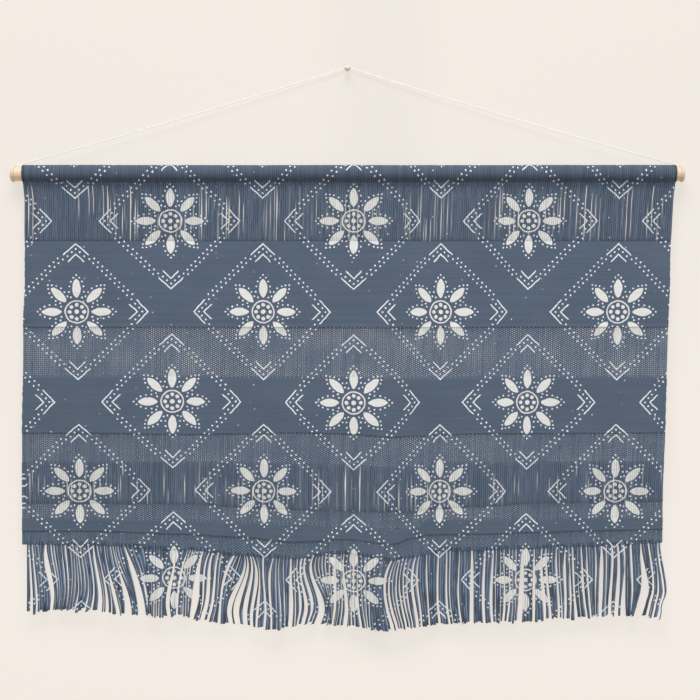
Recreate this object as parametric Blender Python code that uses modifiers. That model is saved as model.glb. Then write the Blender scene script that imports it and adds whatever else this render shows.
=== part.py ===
"""Woven wall hanging: a banded cloth on a wooden dowel, with a fringe, a string and a wall pin.

Metres, +Z up. The wall is the plane y = 0 and the pin enters it at the origin, so the
viewer stands on the -Y side. The cloth runs from its hem up the front, over the dowel and
down the back to a short seam allowance, as one sheet.
"""

import math
from collections import namedtuple

import bmesh
import bpy
import numpy as np
from mathutils import Vector

# Sizes in metres
CLEARANCE = 0.0003

DOWEL_RADIUS = 0.00625
DOWEL_LENGTH = 0.617
DOWEL_EDGE = 0.0010
DOWEL_SIDES = 32
DOWEL_Y = -0.0080
DOWEL_Z = -0.0976

PIN_HEAD_RADIUS = 0.00275
PIN_HEAD_Y = -0.0052
PIN_SHANK_RADIUS = 0.00075
PIN_DEPTH = 0.011
PIN_POINT = 0.0022
PIN_STEPS = 20

STRING_RADIUS = 0.0004
STRING_WRAP_X = 0.3070
STRING_WRAP_PITCH = 0.00115
STRING_WRAP_TURNS = 1.55
STRING_WRAP_CLEARANCE = 0.0004
STRING_PIN_Y = -0.0012
STRING_SAG = 0.0016
# The string's bend off each wrap: steps inwards, towards the wall and up
STRING_LIFT = (0.0012, 0.0012, 0.0004)
STRING_FOOT = (0.0034, 0.0015, 0.0016)
# Shares of each taut run where the route has points of its own
STRING_RUN = (0.02, 0.2, 0.5, 0.8, 0.97, 0.992)

CLOTH_THICKNESS = 0.0015
CASING_THICKNESS = 0.0011
PANEL_Y = -0.0090
FLAP_Y = -0.0074
SEAM_Z = -0.1062
FLAP_LENGTH = 0.0030
# The pocket's arc round the dowel, in degrees from its top towards the front
CASING_ARC = (150, -156)
CASING_ARC_STEPS = 15
CASING_LEFT = -0.2982
CASING_RIGHT = 0.3021
BORDER_STEP = 0.0006

STRIP_HEIGHT = 0.0016
STRIP_DEPTH = 0.0016
LOCK_WIDTH = 0.0036
LOCK_GAP = 0.0005
LOCK_DEPTH = 0.0020
LOCK_SEGMENTS = 3
LOCK_TIP_SCALE = 0.72
LOCK_CURL = 0.0012
LOCK_RAGGED = 0.0012

# Thickness of each weave, as a share of the full thickness
HEFT = {"float": 0.68, "gauze": 0.82, "solid": 1.0}

# The bands from the seam down: weave, level of the top border, rows between the borders
Band = namedtuple("Band", "weave top rows")
BANDS = (
    Band("float", SEAM_Z, 1),
    Band("solid", -0.1588, 2),
    Band("gauze", -0.2376, 1),
    Band("solid", -0.2828, 1),
    Band("gauze", -0.3347, 0),
    Band("float", -0.3616, 1),
    Band("gauze", -0.3991, 0),
    Band("solid", -0.4126, 0),
    Band("gauze", -0.4245, 0),
)
HEM_Z = -0.4364

# How far each border hangs below its level, in millimetres, at stations across the panel
Sag = namedtuple("Sag", "x gauze_1 solid_2 gauze_2 float_2 gauze_3 solid_3 gauze_4 hem")
SAGS = (
    Sag(-0.2954, 0.0, 0.0, 0.0, 0.0, 0.0, 0.0, 0.0, 0.0),
    Sag(-0.2267, 0.0, 0.1, 0.0, -0.2, 0.2, 0.9, 0.0, 0.9),
    Sag(-0.1534, 0.1, 0.3, 1.2, -0.4, 0.5, 2.2, 2.7, 4.6),
    Sag(-0.0985, 0.2, 0.6, 0.8, 0.4, 3.3, 4.0, 5.5, 10.5),
    Sag(-0.0472, 0.3, 0.9, -0.5, 1.4, 6.0, 6.0, 10.1, 12.8),
    Sag(-0.0014, 0.3, 1.2, 0.7, 2.7, 7.5, 9.2, 7.8, 8.7),
    Sag(0.0408, 0.4, 1.6, 3.5, 4.9, 8.0, 10.8, 11.5, 14.5),
    Sag(0.0591, 0.4, 1.7, 2.8, 4.9, 8.0, 11.0, 6.0, 11.5),
    Sag(0.0747, 0.3, 1.6, 2.3, 4.9, 6.4, 1.4, 3.5, 8.7),
    Sag(0.0921, 0.2, 1.6, 1.5, 0.5, 4.9, 1.4, 3.1, 5.9),
    Sag(0.1159, 0.1, 1.4, 0.5, 0.4, 3.2, 1.4, 2.7, 5.5),
    Sag(0.1672, 0.0, 0.9, 0.4, -0.2, 0.2, 1.4, 1.1, 3.7),
    Sag(0.2313, 0.0, 0.5, 0.0, -0.4, -0.7, 0.4, -0.5, 1.5),
    Sag(0.2863, 0.0, 0.3, -0.3, -0.4, -1.7, -0.5, -1.8, -1.8),
)

# The side edges of the panel at several heights
Side = namedtuple("Side", "z left right")
SIDES = (
    Side(-0.1062, -0.2972, 0.2991),
    Side(-0.1210, -0.2955, 0.2975),
    Side(-0.1620, -0.2955, 0.2945),
    Side(-0.2040, -0.2955, 0.2936),
    Side(-0.2310, -0.2972, 0.2927),
    Side(-0.2860, -0.2974, 0.2918),
    Side(-0.3410, -0.2982, 0.2899),
    Side(-0.3820, -0.2982, 0.2881),
    Side(-0.4380, -0.2982, 0.2881),
)

# Soft upright flutes: place, reach to each side, and depth at the hem (towards the viewer)
FLUTE_GROWTH = 1.3
Flute = namedtuple("Flute", "x reach depth")
FLUTES = (
    Flute(-0.262, 0.048, -0.0014),
    Flute(-0.205, 0.040, 0.0020),
    Flute(-0.118, 0.050, -0.0018),
    Flute(-0.068, 0.034, 0.0024),
    Flute(-0.012, 0.042, -0.0026),
    Flute(0.041, 0.036, 0.0040),
    Flute(0.083, 0.030, -0.0022),
    Flute(0.148, 0.046, 0.0016),
    Flute(0.226, 0.050, -0.0012),
    Flute(0.281, 0.034, 0.0018),
)

# Fringe clumps from left to right, in millimetres: how many locks, where the outer locks'
# edges are at the roots and at the tips, how far each side bows to the right, tip level
Clump = namedtuple("Clump", "locks root_l root_r tip_l tip_r bow_l bow_r tip_z")
CLUMPS = (
    Clump(2, -294.5, -288.3, -293.6, -286.5, 0.0, 0.0, -496.5),
    Clump(3, -287.6, -278.1, -284.4, -272.6, 0.0, -1.5, -497.5),
    Clump(4, -275.6, -259.8, -269.8, -254.6, 3.6, 1.4, -497.3),
    Clump(6, -258.6, -234.0, -252.4, -231.4, 1.6, 2.4, -495.6),
    Clump(4, -230.8, -214.6, -224.4, -205.0, 0.6, -1.6, -499.6),
    Clump(2, -214.0, -205.2, -197.8, -190.4, -2.4, -3.0, -501.5),
    Clump(5, -202.4, -182.2, -185.4, -174.0, 2.2, 1.4, -500.8),
    Clump(4, -181.4, -163.2, -173.0, -163.8, 0.6, 0.0, -502.8),
    Clump(4, -162.2, -141.2, -157.2, -146.4, 0.4, -3.4, -501.5),
    Clump(3, -140.2, -123.6, -141.2, -134.6, -5.4, -3.6, -506.0),
    Clump(4, -122.8, -106.0, -133.8, -121.2, -3.0, -2.6, -506.2),
    Clump(3, -105.2, -93.2, -118.6, -107.8, -2.6, -2.2, -508.7),
    Clump(3, -92.4, -82.0, -105.0, -88.4, -0.6, 0.8, -511.0),
    Clump(3, -81.2, -70.4, -85.0, -71.0, 1.0, 0.0, -512.8),
    Clump(4, -69.6, -54.6, -69.2, -55.6, 0.0, 0.0, -514.2),
    Clump(4, -54.0, -38.2, -51.0, -39.0, 0.6, 2.6, -509.6),
    Clump(2, -37.4, -31.8, -36.0, -30.8, 3.2, 5.4, -508.7),
    Clump(3, -31.0, -16.4, -24.4, -14.2, 5.2, 2.0, -510.0),
    Clump(9, -15.4, 23.2, -12.4, 22.8, 0.6, -0.4, -511.6),
    Clump(4, 23.9, 38.2, 23.7, 38.4, -0.4, -3.0, -515.0),
    Clump(5, 39.8, 61.6, 43.6, 62.4, -4.0, -3.0, -512.8),
    Clump(5, 62.4, 83.0, 64.4, 83.2, -0.8, 0.4, -510.6),
    Clump(6, 84.4, 112.0, 84.8, 111.6, 0.2, 0.0, -508.8),
    Clump(2, 116.0, 123.2, 116.4, 123.0, 0.0, 0.0, -507.6),
    Clump(1, 126.0, 131.2, 126.6, 130.8, 0.0, 0.0, -508.0),
    Clump(5, 133.8, 155.2, 133.4, 154.8, 0.0, 0.0, -507.4),
    Clump(2, 159.0, 168.4, 160.0, 168.4, 0.2, 0.0, -506.8),
    Clump(2, 170.8, 179.4, 171.8, 179.0, 0.0, 0.6, -506.2),
    Clump(6, 181.8, 210.0, 182.8, 208.4, 0.8, 0.4, -503.4),
    Clump(5, 210.8, 231.0, 210.2, 229.4, 1.6, 1.6, -502.6),
    Clump(4, 233.2, 250.2, 232.2, 250.6, 1.8, 0.6, -501.4),
    Clump(2, 251.2, 257.8, 253.4, 258.6, 0.0, 0.0, -501.8),
    Clump(2, 260.6, 268.8, 259.2, 263.6, 0.6, 1.6, -502.0),
    Clump(3, 270.8, 284.2, 270.6, 282.8, 1.2, 2.6, -502.6),
    Clump(1, 284.9, 287.8, 284.9, 287.4, 4.4, 5.0, -505.8),
)


def material(name, rgb, roughness, metallic=0.0):
    """A Principled material with one colour."""
    mat = bpy.data.materials.new(name)
    mat.use_nodes = True
    shader = mat.node_tree.nodes["Principled BSDF"]
    shader.inputs["Base Color"].default_value = (*rgb, 1.0)
    shader.inputs["Roughness"].default_value = roughness
    shader.inputs["Metallic"].default_value = metallic
    return mat


def own(obj, name, collection, mat):
    """Names an object and its mesh or curve, gives it its material and moves it home."""
    obj.name = name
    obj.data.name = name
    for old in list(obj.users_collection):
        old.objects.unlink(obj)
    collection.objects.link(obj)
    obj.data.materials.clear()
    obj.data.materials.append(mat)
    return obj


def eased(x, stations, values):
    """Reads a table of stations with a soft step between each pair of them."""
    place = np.clip(np.interp(x, stations, range(len(stations))), 0, len(stations) - 1)
    i = min(int(place), len(stations) - 2)
    share = 0.5 - 0.5 * math.cos(math.pi * (place - i))
    return values[i] + (values[i + 1] - values[i]) * share


def border_drop(border, x):
    """How far one border hangs below its level at x, in metres."""
    values = [getattr(row, border) for row in SAGS]
    return 0.001 * eased(x, [row.x for row in SAGS], values)


def border_z(index, x):
    """Height of the top border of one band at x, or of the hem past the last band."""
    if index == len(BANDS):
        return HEM_Z - border_drop("hem", x)
    level = BANDS[index].top
    if index < 2:
        return level
    names = Sag._fields[1:]
    return level - border_drop(names[index - 2], x)


def flute_y(x, z):
    """How far the flutes carry the cloth towards the viewer at a place on the panel."""
    fall = min(max((SEAM_Z - z) / (SEAM_Z - HEM_Z), 0.0), 1.1)
    total = 0.0
    for flute in FLUTES:
        away = (x - flute.x) / flute.reach
        total += flute.depth * math.exp(-2.0 * away * away)
    return PANEL_Y - total * fall**FLUTE_GROWTH


def side_edges(z):
    """The left and right edges of the panel at one height."""
    heights = [row.z for row in reversed(SIDES)]
    left = np.interp(z, heights, [row.left for row in reversed(SIDES)])
    right = np.interp(z, heights, [row.right for row in reversed(SIDES)])
    return float(left), float(right)


def casing_rows():
    """The rows of the rod pocket as (y, z), from the end of the seam allowance round."""
    radius = DOWEL_RADIUS + CLEARANCE + CASING_THICKNESS / 2
    rows = [(FLAP_Y, SEAM_Z - FLAP_LENGTH), (FLAP_Y, SEAM_Z)]
    front, back = CASING_ARC
    for degrees in np.linspace(back, front, CASING_ARC_STEPS + 1):
        turn = math.radians(degrees)
        y = DOWEL_Y - radius * math.sin(turn)
        z = DOWEL_Z + radius * math.cos(turn)
        rows.append((y, z))
    rows.append((PANEL_Y, SEAM_Z))
    return rows


# A row of the panel: its band's number, its share of the way down it and a step in metres
Row = namedtuple("Row", "band share step weave")


def panel_rows():
    """The rows of the panel below the seam, two of them close together at each border."""
    rows = []
    for number, band in enumerate(BANDS):
        if number > 0:
            rows.append(Row(number, 0.0, -BORDER_STEP, band.weave))
        for k in range(band.rows):
            rows.append(Row(number, (k + 1) / (band.rows + 1), 0.0, band.weave))
        last = number + 1 == len(BANDS)
        rows.append(Row(number, 1.0, 0.0 if last else BORDER_STEP, band.weave))
    return rows


def panel_point(across_share, row):
    """A place on the panel's middle surface, from its share across and its row.

    The height depends on x and the edges on the height, so the two are worked out in turn.
    """
    x = 0.0
    for _ in range(3):
        upper = border_z(row.band, x)
        lower = border_z(row.band + 1, x)
        z = upper + (lower - upper) * row.share + row.step
        left, right = side_edges(z)
        x = left + (right - left) * across_share
    return Vector((x, flute_y(x, z), z))


def across():
    """Shares across the cloth: the stations of the sag table and the middles between."""
    stations = [(row.x - SAGS[0].x) / (SAGS[-1].x - SAGS[0].x) for row in SAGS]
    shares = [stations[0]]
    for a, b in zip(stations, stations[1:]):
        shares += [(a + b) / 2, b]
    return shares


def make_cloth(collection, mat):
    """The woven sheet with its rod pocket: a grid laid along its path, then thickened."""
    shares = across()
    casing = casing_rows()
    panel = panel_rows()
    count_x, count_y = len(shares), len(casing) + len(panel)
    bpy.ops.mesh.primitive_grid_add(
        x_subdivisions=count_x - 1, y_subdivisions=count_y - 1, size=1.0
    )
    cloth = own(bpy.context.object, "cloth", collection, mat)
    heft = cloth.vertex_groups.new(name="heft")
    for vertex in cloth.data.vertices:
        i = round((vertex.co.x + 0.5) * (count_x - 1))
        j = round((vertex.co.y + 0.5) * (count_y - 1))
        if j < len(casing):
            y, z = casing[j]
            x = CASING_LEFT + (CASING_RIGHT - CASING_LEFT) * shares[i]
            if z <= SEAM_Z:
                left, right = side_edges(z)
                x = left + (right - left) * shares[i]
            vertex.co = (x, y, z)
            weight = CASING_THICKNESS / CLOTH_THICKNESS
        else:
            row = panel[j - len(casing)]
            vertex.co = panel_point(shares[i], row)
            weight = HEFT[row.weave]
        heft.add([vertex.index], weight, "REPLACE")
    solid = cloth.modifiers.new("Thickness", "SOLIDIFY")
    solid.thickness = CLOTH_THICKNESS
    solid.offset = 0.0
    solid.use_even_offset = True
    solid.vertex_group = heft.name
    return cloth


def hem_point(x, hem):
    """A place at x on the straight runs between the hem's corners."""
    corner_x = [corner.x for corner in hem]
    y = np.interp(x, corner_x, [corner.y for corner in hem])
    z = np.interp(x, corner_x, [corner.z for corner in hem])
    return Vector((x, y, z))


def ragged(number):
    """A fixed uneven value between -1 and 1 for one lock."""
    return math.sin(number * 12.9898) * math.cos(number * 4.1414)


def lock_edges(clump, index, fall):
    """The left and right edge of one lock at a share of its fall, in metres."""
    bend = 4 * fall * (1 - fall)
    left = clump.root_l + (clump.tip_l - clump.root_l) * fall + clump.bow_l * bend
    right = clump.root_r + (clump.tip_r - clump.root_r) * fall + clump.bow_r * bend
    pitch = 0.001 * (right - left) / clump.locks
    middle = 0.001 * left + pitch * (index + 0.5)
    width = min(pitch - LOCK_GAP, LOCK_WIDTH)
    if fall == 1:
        width *= LOCK_TIP_SCALE
    return middle - width / 2, middle + width / 2


def all_locks():
    """Every lock of the fringe as (clump, index in the clump), from left to right."""
    return [(clump, i) for clump in CLUMPS for i in range(clump.locks)]


def make_strip(locks):
    """The narrow backing strip, with one underside face for each lock and gap."""
    edges = []
    for clump, i in locks:
        edges += lock_edges(clump, i, 0)
    hem = [panel_point(share, panel_rows()[-1]) for share in across()]
    mesh = bmesh.new()
    bmesh.ops.create_cube(mesh, size=1.0)
    long_edges = [e for e in mesh.edges if abs(e.verts[0].co.x - e.verts[1].co.x) > 0.5]
    bmesh.ops.subdivide_edges(
        mesh, edges=long_edges, cuts=len(edges) - 2, use_grid_fill=True
    )
    for vertex in mesh.verts:
        x = edges[round((vertex.co.x + 0.5) * (len(edges) - 1))]
        edge = hem_point(x, hem)
        top = edge.z - CLEARANCE
        z = top if vertex.co.z > 0 else top - STRIP_HEIGHT
        y = edge.y + math.copysign(STRIP_DEPTH / 2, vertex.co.y)
        vertex.co = (x, y, z)
    return mesh


def lower_section(face, lock, number, root, fall):
    """Moves the corners of a lock's new end face to its section at a share of its fall."""
    centre = face.calc_center_median()
    left, right = lock_edges(*lock, fall)
    tip_z = 0.001 * lock[0].tip_z + LOCK_RAGGED * ragged(number)
    middle_y = root.y + LOCK_CURL * ragged(number + 0.5) * fall
    depth = LOCK_DEPTH * (LOCK_TIP_SCALE if fall == 1 else 1.0)
    for vertex in face.verts:
        x = left if vertex.co.x < centre.x else right
        y = middle_y + math.copysign(depth / 2, vertex.co.y - centre.y)
        vertex.co = (x, y, root.z + (tip_z - root.z) * fall)


def make_fringe(collection, mat):
    """The strip below the hem with the locks extruded from its underside."""
    locks = all_locks()
    mesh = make_strip(locks)
    mesh.normal_update()
    under = [f for f in mesh.faces if f.normal.z < -0.7]
    under.sort(key=lambda face: face.calc_center_median().x)
    for number, lock in enumerate(locks):
        face = under[2 * number]
        root = face.calc_center_median()
        for step in range(LOCK_SEGMENTS):
            made = bmesh.ops.extrude_discrete_faces(mesh, faces=[face])
            face = made["faces"][0]
            lower_section(face, lock, number, root, (step + 1) / LOCK_SEGMENTS)
    data = bpy.data.meshes.new("fringe")
    mesh.to_mesh(data)
    mesh.free()
    return own(bpy.data.objects.new("fringe", data), "fringe", collection, mat)


def make_dowel(collection, mat):
    """The round wooden rod with its softened end edges."""
    bpy.ops.mesh.primitive_cylinder_add(
        vertices=DOWEL_SIDES,
        radius=DOWEL_RADIUS,
        depth=DOWEL_LENGTH,
        location=(0, DOWEL_Y, DOWEL_Z),
        rotation=(0, math.radians(90), 0),
    )
    dowel = own(bpy.context.object, "dowel", collection, mat)
    dowel.data.shade_smooth()
    dowel.data.set_sharp_from_angle(angle=math.radians(40))
    bevel = dowel.modifiers.new("End edges", "BEVEL")
    bevel.width = DOWEL_EDGE
    bevel.segments = 2
    bevel.limit_method = "ANGLE"
    return dowel


def pin_profile():
    """The pin's outline as (radius, height above the wall), from its head to its point."""
    neck = math.asin(PIN_SHANK_RADIUS / PIN_HEAD_RADIUS)
    points = []
    for angle in np.linspace(0, math.pi - neck, 10):
        radius = PIN_HEAD_RADIUS * math.sin(angle)
        points.append((radius, -PIN_HEAD_Y + PIN_HEAD_RADIUS * math.cos(angle)))
    points.append((PIN_SHANK_RADIUS, PIN_POINT - PIN_DEPTH))
    points.append((0, -PIN_DEPTH))
    return points


def make_pin(collection, mat):
    """The round-headed pin, a turned profile with its axis square to the wall."""
    mesh = bmesh.new()
    corners = [mesh.verts.new((radius, 0, height)) for radius, height in pin_profile()]
    for a, b in zip(corners, corners[1:]):
        mesh.edges.new((a, b))
    data = bpy.data.meshes.new("wall_pin")
    mesh.to_mesh(data)
    mesh.free()
    pin = own(bpy.data.objects.new("wall_pin", data), "wall_pin", collection, mat)
    pin.rotation_euler = (math.radians(90), 0, 0)
    screw = pin.modifiers.new("Turned", "SCREW")
    screw.steps = PIN_STEPS
    screw.render_steps = PIN_STEPS
    screw.use_merge_vertices = True
    screw.merge_threshold = 0.00001
    screw.use_smooth_shade = True
    return pin


def wrap_route(side):
    """The string's turns round one bare end of the dowel, from the hidden end inwards."""
    radius = DOWEL_RADIUS + STRING_WRAP_CLEARANCE + STRING_RADIUS
    steps = round(STRING_WRAP_TURNS * 8)
    points = []
    for k in range(steps + 1):
        turns = STRING_WRAP_TURNS * (1 - k / steps)
        angle = math.tau * turns
        x = STRING_WRAP_X - STRING_WRAP_PITCH * (STRING_WRAP_TURNS - turns)
        y = DOWEL_Y - radius * math.sin(angle)
        z = DOWEL_Z + radius * math.cos(angle)
        points.append(Vector((side * x, y, z)))
    return points


def string_route():
    """The route's own points: a wrap, a taut run, the pin, a taut run and a wrap."""
    apex = Vector((0, STRING_PIN_Y, PIN_SHANK_RADIUS + CLEARANCE + STRING_RADIUS))
    halves = []
    for side in (-1, 1):
        wrap = wrap_route(side)
        lift = wrap[-1] + Vector((-side * STRING_LIFT[0], *STRING_LIFT[1:]))
        foot = wrap[-1] + Vector((-side * STRING_FOOT[0], *STRING_FOOT[1:]))
        run = []
        for share in STRING_RUN:
            point = foot.lerp(apex, share)
            point.z -= STRING_SAG * 4 * share * (1 - share)
            run.append(point)
        halves.append(wrap + [lift, foot] + run)
    left, right = halves
    return left + [apex] + right[::-1]


def smooth_curve(points, samples):
    """Points read from a centripetal Catmull-Rom curve through the route's points."""
    ends = [2 * points[0] - points[1], *points, 2 * points[-1] - points[-2]]
    result = []
    for p0, p1, p2, p3 in zip(ends, ends[1:], ends[2:], ends[3:]):
        t1 = (p1 - p0).length ** 0.5
        t2 = t1 + (p2 - p1).length ** 0.5
        t3 = t2 + (p3 - p2).length ** 0.5
        for k in range(samples):
            t = t1 + (t2 - t1) * k / samples
            a1 = p0.lerp(p1, t / t1)
            a2 = p1.lerp(p2, (t - t1) / (t2 - t1))
            a3 = p2.lerp(p3, (t - t2) / (t3 - t2))
            b1 = a1.lerp(a2, t / t2)
            b2 = a2.lerp(a3, (t - t1) / (t3 - t1))
            result.append(b1.lerp(b2, (t - t1) / (t2 - t1)))
    result.append(points[-1].copy())
    return result


def make_string(collection, mat):
    """The hanging string as a tube along its smooth route."""
    points = smooth_curve(string_route(), 2)
    curve = bpy.data.curves.new("hanging_string", "CURVE")
    curve.dimensions = "3D"
    curve.bevel_depth = STRING_RADIUS
    curve.bevel_resolution = 2
    curve.use_fill_caps = True
    spline = curve.splines.new("POLY")
    spline.points.add(len(points) - 1)
    for target, point in zip(spline.points, points):
        target.co = (*point, 1.0)
    obj = bpy.data.objects.new("hanging_string", curve)
    return own(obj, "hanging_string", collection, mat)


def main():
    for obj in list(bpy.data.objects):
        bpy.data.objects.remove(obj, do_unlink=True)
    collection = bpy.data.collections.new("woven_wall_hanging")
    bpy.context.scene.collection.children.link(collection)
    weave = material("woven yarn", (0.093, 0.130, 0.182), 0.9)
    fringe = material("fringe yarn", (0.088, 0.122, 0.168), 0.9)
    wood = material("pale wood", (0.690, 0.520, 0.350), 0.55)
    cotton = material("white string", (0.800, 0.760, 0.700), 0.8)
    head = material("beige pin", (0.600, 0.470, 0.340), 0.4)
    make_dowel(collection, wood)
    make_cloth(collection, weave)
    make_fringe(collection, fringe)
    make_string(collection, cotton)
    make_pin(collection, head)


main()
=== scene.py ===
"""Woven wall hanging, finished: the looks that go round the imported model.

Metres, +Z up. The wall is the plane y = 0 and the viewer stands on the -Y side. Bands of cloth
hang below the rod pocket. The pocket and the close weave are thin sheets; the floats, the open
ribbed weave and the fringe are built yarn by yarn. The cloth is shaped here, not simulated.
"""

import logging
import math
from contextlib import contextmanager
from dataclasses import dataclass
from enum import Enum
from functools import reduce
from typing import Callable, Iterator, NamedTuple, Optional, Sequence, Union

import bpy
import numpy as np
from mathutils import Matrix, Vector


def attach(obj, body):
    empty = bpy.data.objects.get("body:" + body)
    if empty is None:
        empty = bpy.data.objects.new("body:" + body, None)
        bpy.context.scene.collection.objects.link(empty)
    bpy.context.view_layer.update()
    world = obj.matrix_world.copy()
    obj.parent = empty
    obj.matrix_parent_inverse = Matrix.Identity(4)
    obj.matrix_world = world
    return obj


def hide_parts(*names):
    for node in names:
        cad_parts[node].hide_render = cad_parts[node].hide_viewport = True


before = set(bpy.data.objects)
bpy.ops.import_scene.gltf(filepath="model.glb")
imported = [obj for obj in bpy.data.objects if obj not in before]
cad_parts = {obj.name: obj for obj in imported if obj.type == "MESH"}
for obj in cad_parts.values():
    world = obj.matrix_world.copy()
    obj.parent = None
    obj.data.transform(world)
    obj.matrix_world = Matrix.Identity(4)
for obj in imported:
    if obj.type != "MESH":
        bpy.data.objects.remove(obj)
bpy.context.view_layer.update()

logging.basicConfig(level=logging.INFO, format="%(message)s")
log = logging.getLogger("wall hanging")

BODY = "root"
MM = 0.001
DIAGONAL = 0.7071
Triple = tuple[float, float, float]
Colour = Triple


# Shader node helpers


class Wire:
    """A node socket that can be reckoned with like a number."""

    def __init__(self, graph: "Graph", socket: bpy.types.NodeSocket) -> None:
        """Keeps the graph and the socket."""
        self.graph = graph
        self.socket = socket

    def __add__(self, other: "Value") -> "Wire":
        """Sum."""
        return self.graph.math("ADD", self, other)

    def __sub__(self, other: "Value") -> "Wire":
        """Difference."""
        return self.graph.math("SUBTRACT", self, other)

    def __rsub__(self, other: "Value") -> "Wire":
        """Difference with the wire second."""
        return self.graph.math("SUBTRACT", other, self)

    def __mul__(self, other: "Value") -> "Wire":
        """Product."""
        return self.graph.math("MULTIPLY", self, other)

    def __truediv__(self, other: "Value") -> "Wire":
        """Quotient."""
        return self.graph.math("DIVIDE", self, other)

    __radd__ = __add__
    __rmul__ = __mul__


Value = Union[Wire, float, tuple]


class Graph:
    """Writes the nodes of one material or group in the order in which they are reckoned."""

    def __init__(self, tree: bpy.types.NodeTree) -> None:
        """Keeps the node tree that is written to."""
        self.tree = tree

    def node(self, kind: str, **settings: object) -> bpy.types.Node:
        """Adds a node.

        Args:
            kind: The node's type name.
            **settings: Properties of the node.

        Returns:
            The new node.
        """
        node = self.tree.nodes.new(kind)
        for key, value in settings.items():
            setattr(node, key, value)
        return node

    def feed(self, socket: bpy.types.NodeSocket, value: Value) -> None:
        """Links a wire to a socket, or sets the socket's own value.

        Args:
            socket: The input that is fed.
            value: A wire, a number or a tuple.
        """
        if isinstance(value, Wire):
            self.tree.links.new(value.socket, socket)
        elif isinstance(value, tuple) and socket.type == "RGBA":
            socket.default_value = (*value, 1.0)
        else:
            socket.default_value = value

    def feed_all(self, node: bpy.types.Node, inputs: dict[Union[int, str], Value]) -> None:
        """Feeds several inputs of a node, each by its number or name."""
        for key, value in inputs.items():
            self.feed(node.inputs[key], value)

    def wire(
        self,
        kind: str,
        output: Union[int, str],
        inputs: dict[Union[int, str], Value],
        **settings: object,
    ) -> Wire:
        """Adds a node, feeds it and gives one of its outputs.

        Args:
            kind: The node's type name.
            output: The output's number or name.
            inputs: What each input is fed.
            **settings: Properties of the node.

        Returns:
            That output.
        """
        node = self.node(kind, **settings)
        self.feed_all(node, inputs)
        return Wire(self, node.outputs[output])

    def math(self, operation: str, *values: Value) -> Wire:
        """One Math node, its inputs in order."""
        return self.wire("ShaderNodeMath", 0, dict(enumerate(values)), operation=operation)

    def least(self, *values: Value) -> Wire:
        """The smallest of several wires."""
        return reduce(lambda a, b: self.math("MINIMUM", a, b), values)

    def vector(self, x: Value, y: Value, z: Value = 0.0) -> Wire:
        """A vector from its three parts."""
        return self.wire("ShaderNodeCombineXYZ", 0, {0: x, 1: y, 2: z})

    def parts(self, vector: Wire) -> tuple[Wire, Wire, Wire]:
        """The three parts of a vector."""
        first = self.wire("ShaderNodeSeparateXYZ", 0, {0: vector})
        return tuple(Wire(self, socket) for socket in first.socket.node.outputs)

    def from_spot(self, vector: Wire, x: float, y: float) -> Wire:
        """How far a place is from one spot."""
        ends = {0: vector, 1: (x, y, 0.0)}
        return self.wire("ShaderNodeVectorMath", "Value", ends, operation="DISTANCE")

    def stretched(self, vector: Wire, scale: Triple) -> Wire:
        """A vector with its parts multiplied."""
        factors = {0: vector, 1: scale}
        return self.wire("ShaderNodeVectorMath", "Vector", factors, operation="MULTIPLY")

    def noise(self, vector: Wire, scale: float, detail: float = 2.0) -> Wire:
        """Smooth noise between 0 and 1 at a place."""
        inputs = {"Vector": vector, "Scale": scale, "Detail": detail}
        return self.wire("ShaderNodeTexNoise", 0, inputs, noise_dimensions="3D")

    def chance(self, number: Wire) -> Wire:
        """A fixed random value between 0 and 1 for a number."""
        return self.wire("ShaderNodeTexWhiteNoise", "Value", {"W": number}, noise_dimensions="1D")

    def ramp(self, value: Wire, low: float, high: float, a: float = 0.0, b: float = 1.0) -> Wire:
        """Maps low..high softly to a..b, held at both ends."""
        inputs = dict(enumerate((value, low, high, a, b)))
        return self.wire("ShaderNodeMapRange", 0, inputs, interpolation_type="SMOOTHSTEP")

    def mix(self, share: Value, a: Value, b: Value) -> Wire:
        """A mix of two colours by a share."""
        return self.wire("ShaderNodeMix", 2, {"Factor": share, 6: a, 7: b}, data_type="RGBA")

    def tinted(self, colour: Wire, shade: Wire) -> Wire:
        """A colour made lighter or darker by a factor."""
        factors = {0: colour, "Scale": shade}
        return self.wire("ShaderNodeVectorMath", "Vector", factors, operation="SCALE")

    def attribute(self, name: str, output: str = "Vector") -> Wire:
        """An attribute of the mesh."""
        settings = {"attribute_type": "GEOMETRY", "attribute_name": name}
        return self.wire("ShaderNodeAttribute", output, {}, **settings)

    def place(self) -> Wire:
        """The object's own coordinates."""
        return self.wire("ShaderNodeTexCoord", "Object", {})

    def bump(self, height: Wire, distance: float) -> Wire:
        """A normal from a height."""
        inputs = {"Strength": 1.0, "Distance": distance, "Height": height}
        return self.wire("ShaderNodeBump", "Normal", inputs)

    def use(self, group: bpy.types.NodeTree, **values: Value) -> Callable[[str], Wire]:
        """Places a node group.

        Args:
            group: The group.
            **values: Its inputs by name.

        Returns:
            A function that gives an output by name.
        """
        node = self.node("ShaderNodeGroup", node_tree=group)
        self.feed_all(node, values)
        return lambda name: Wire(self, node.outputs[name])


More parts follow.
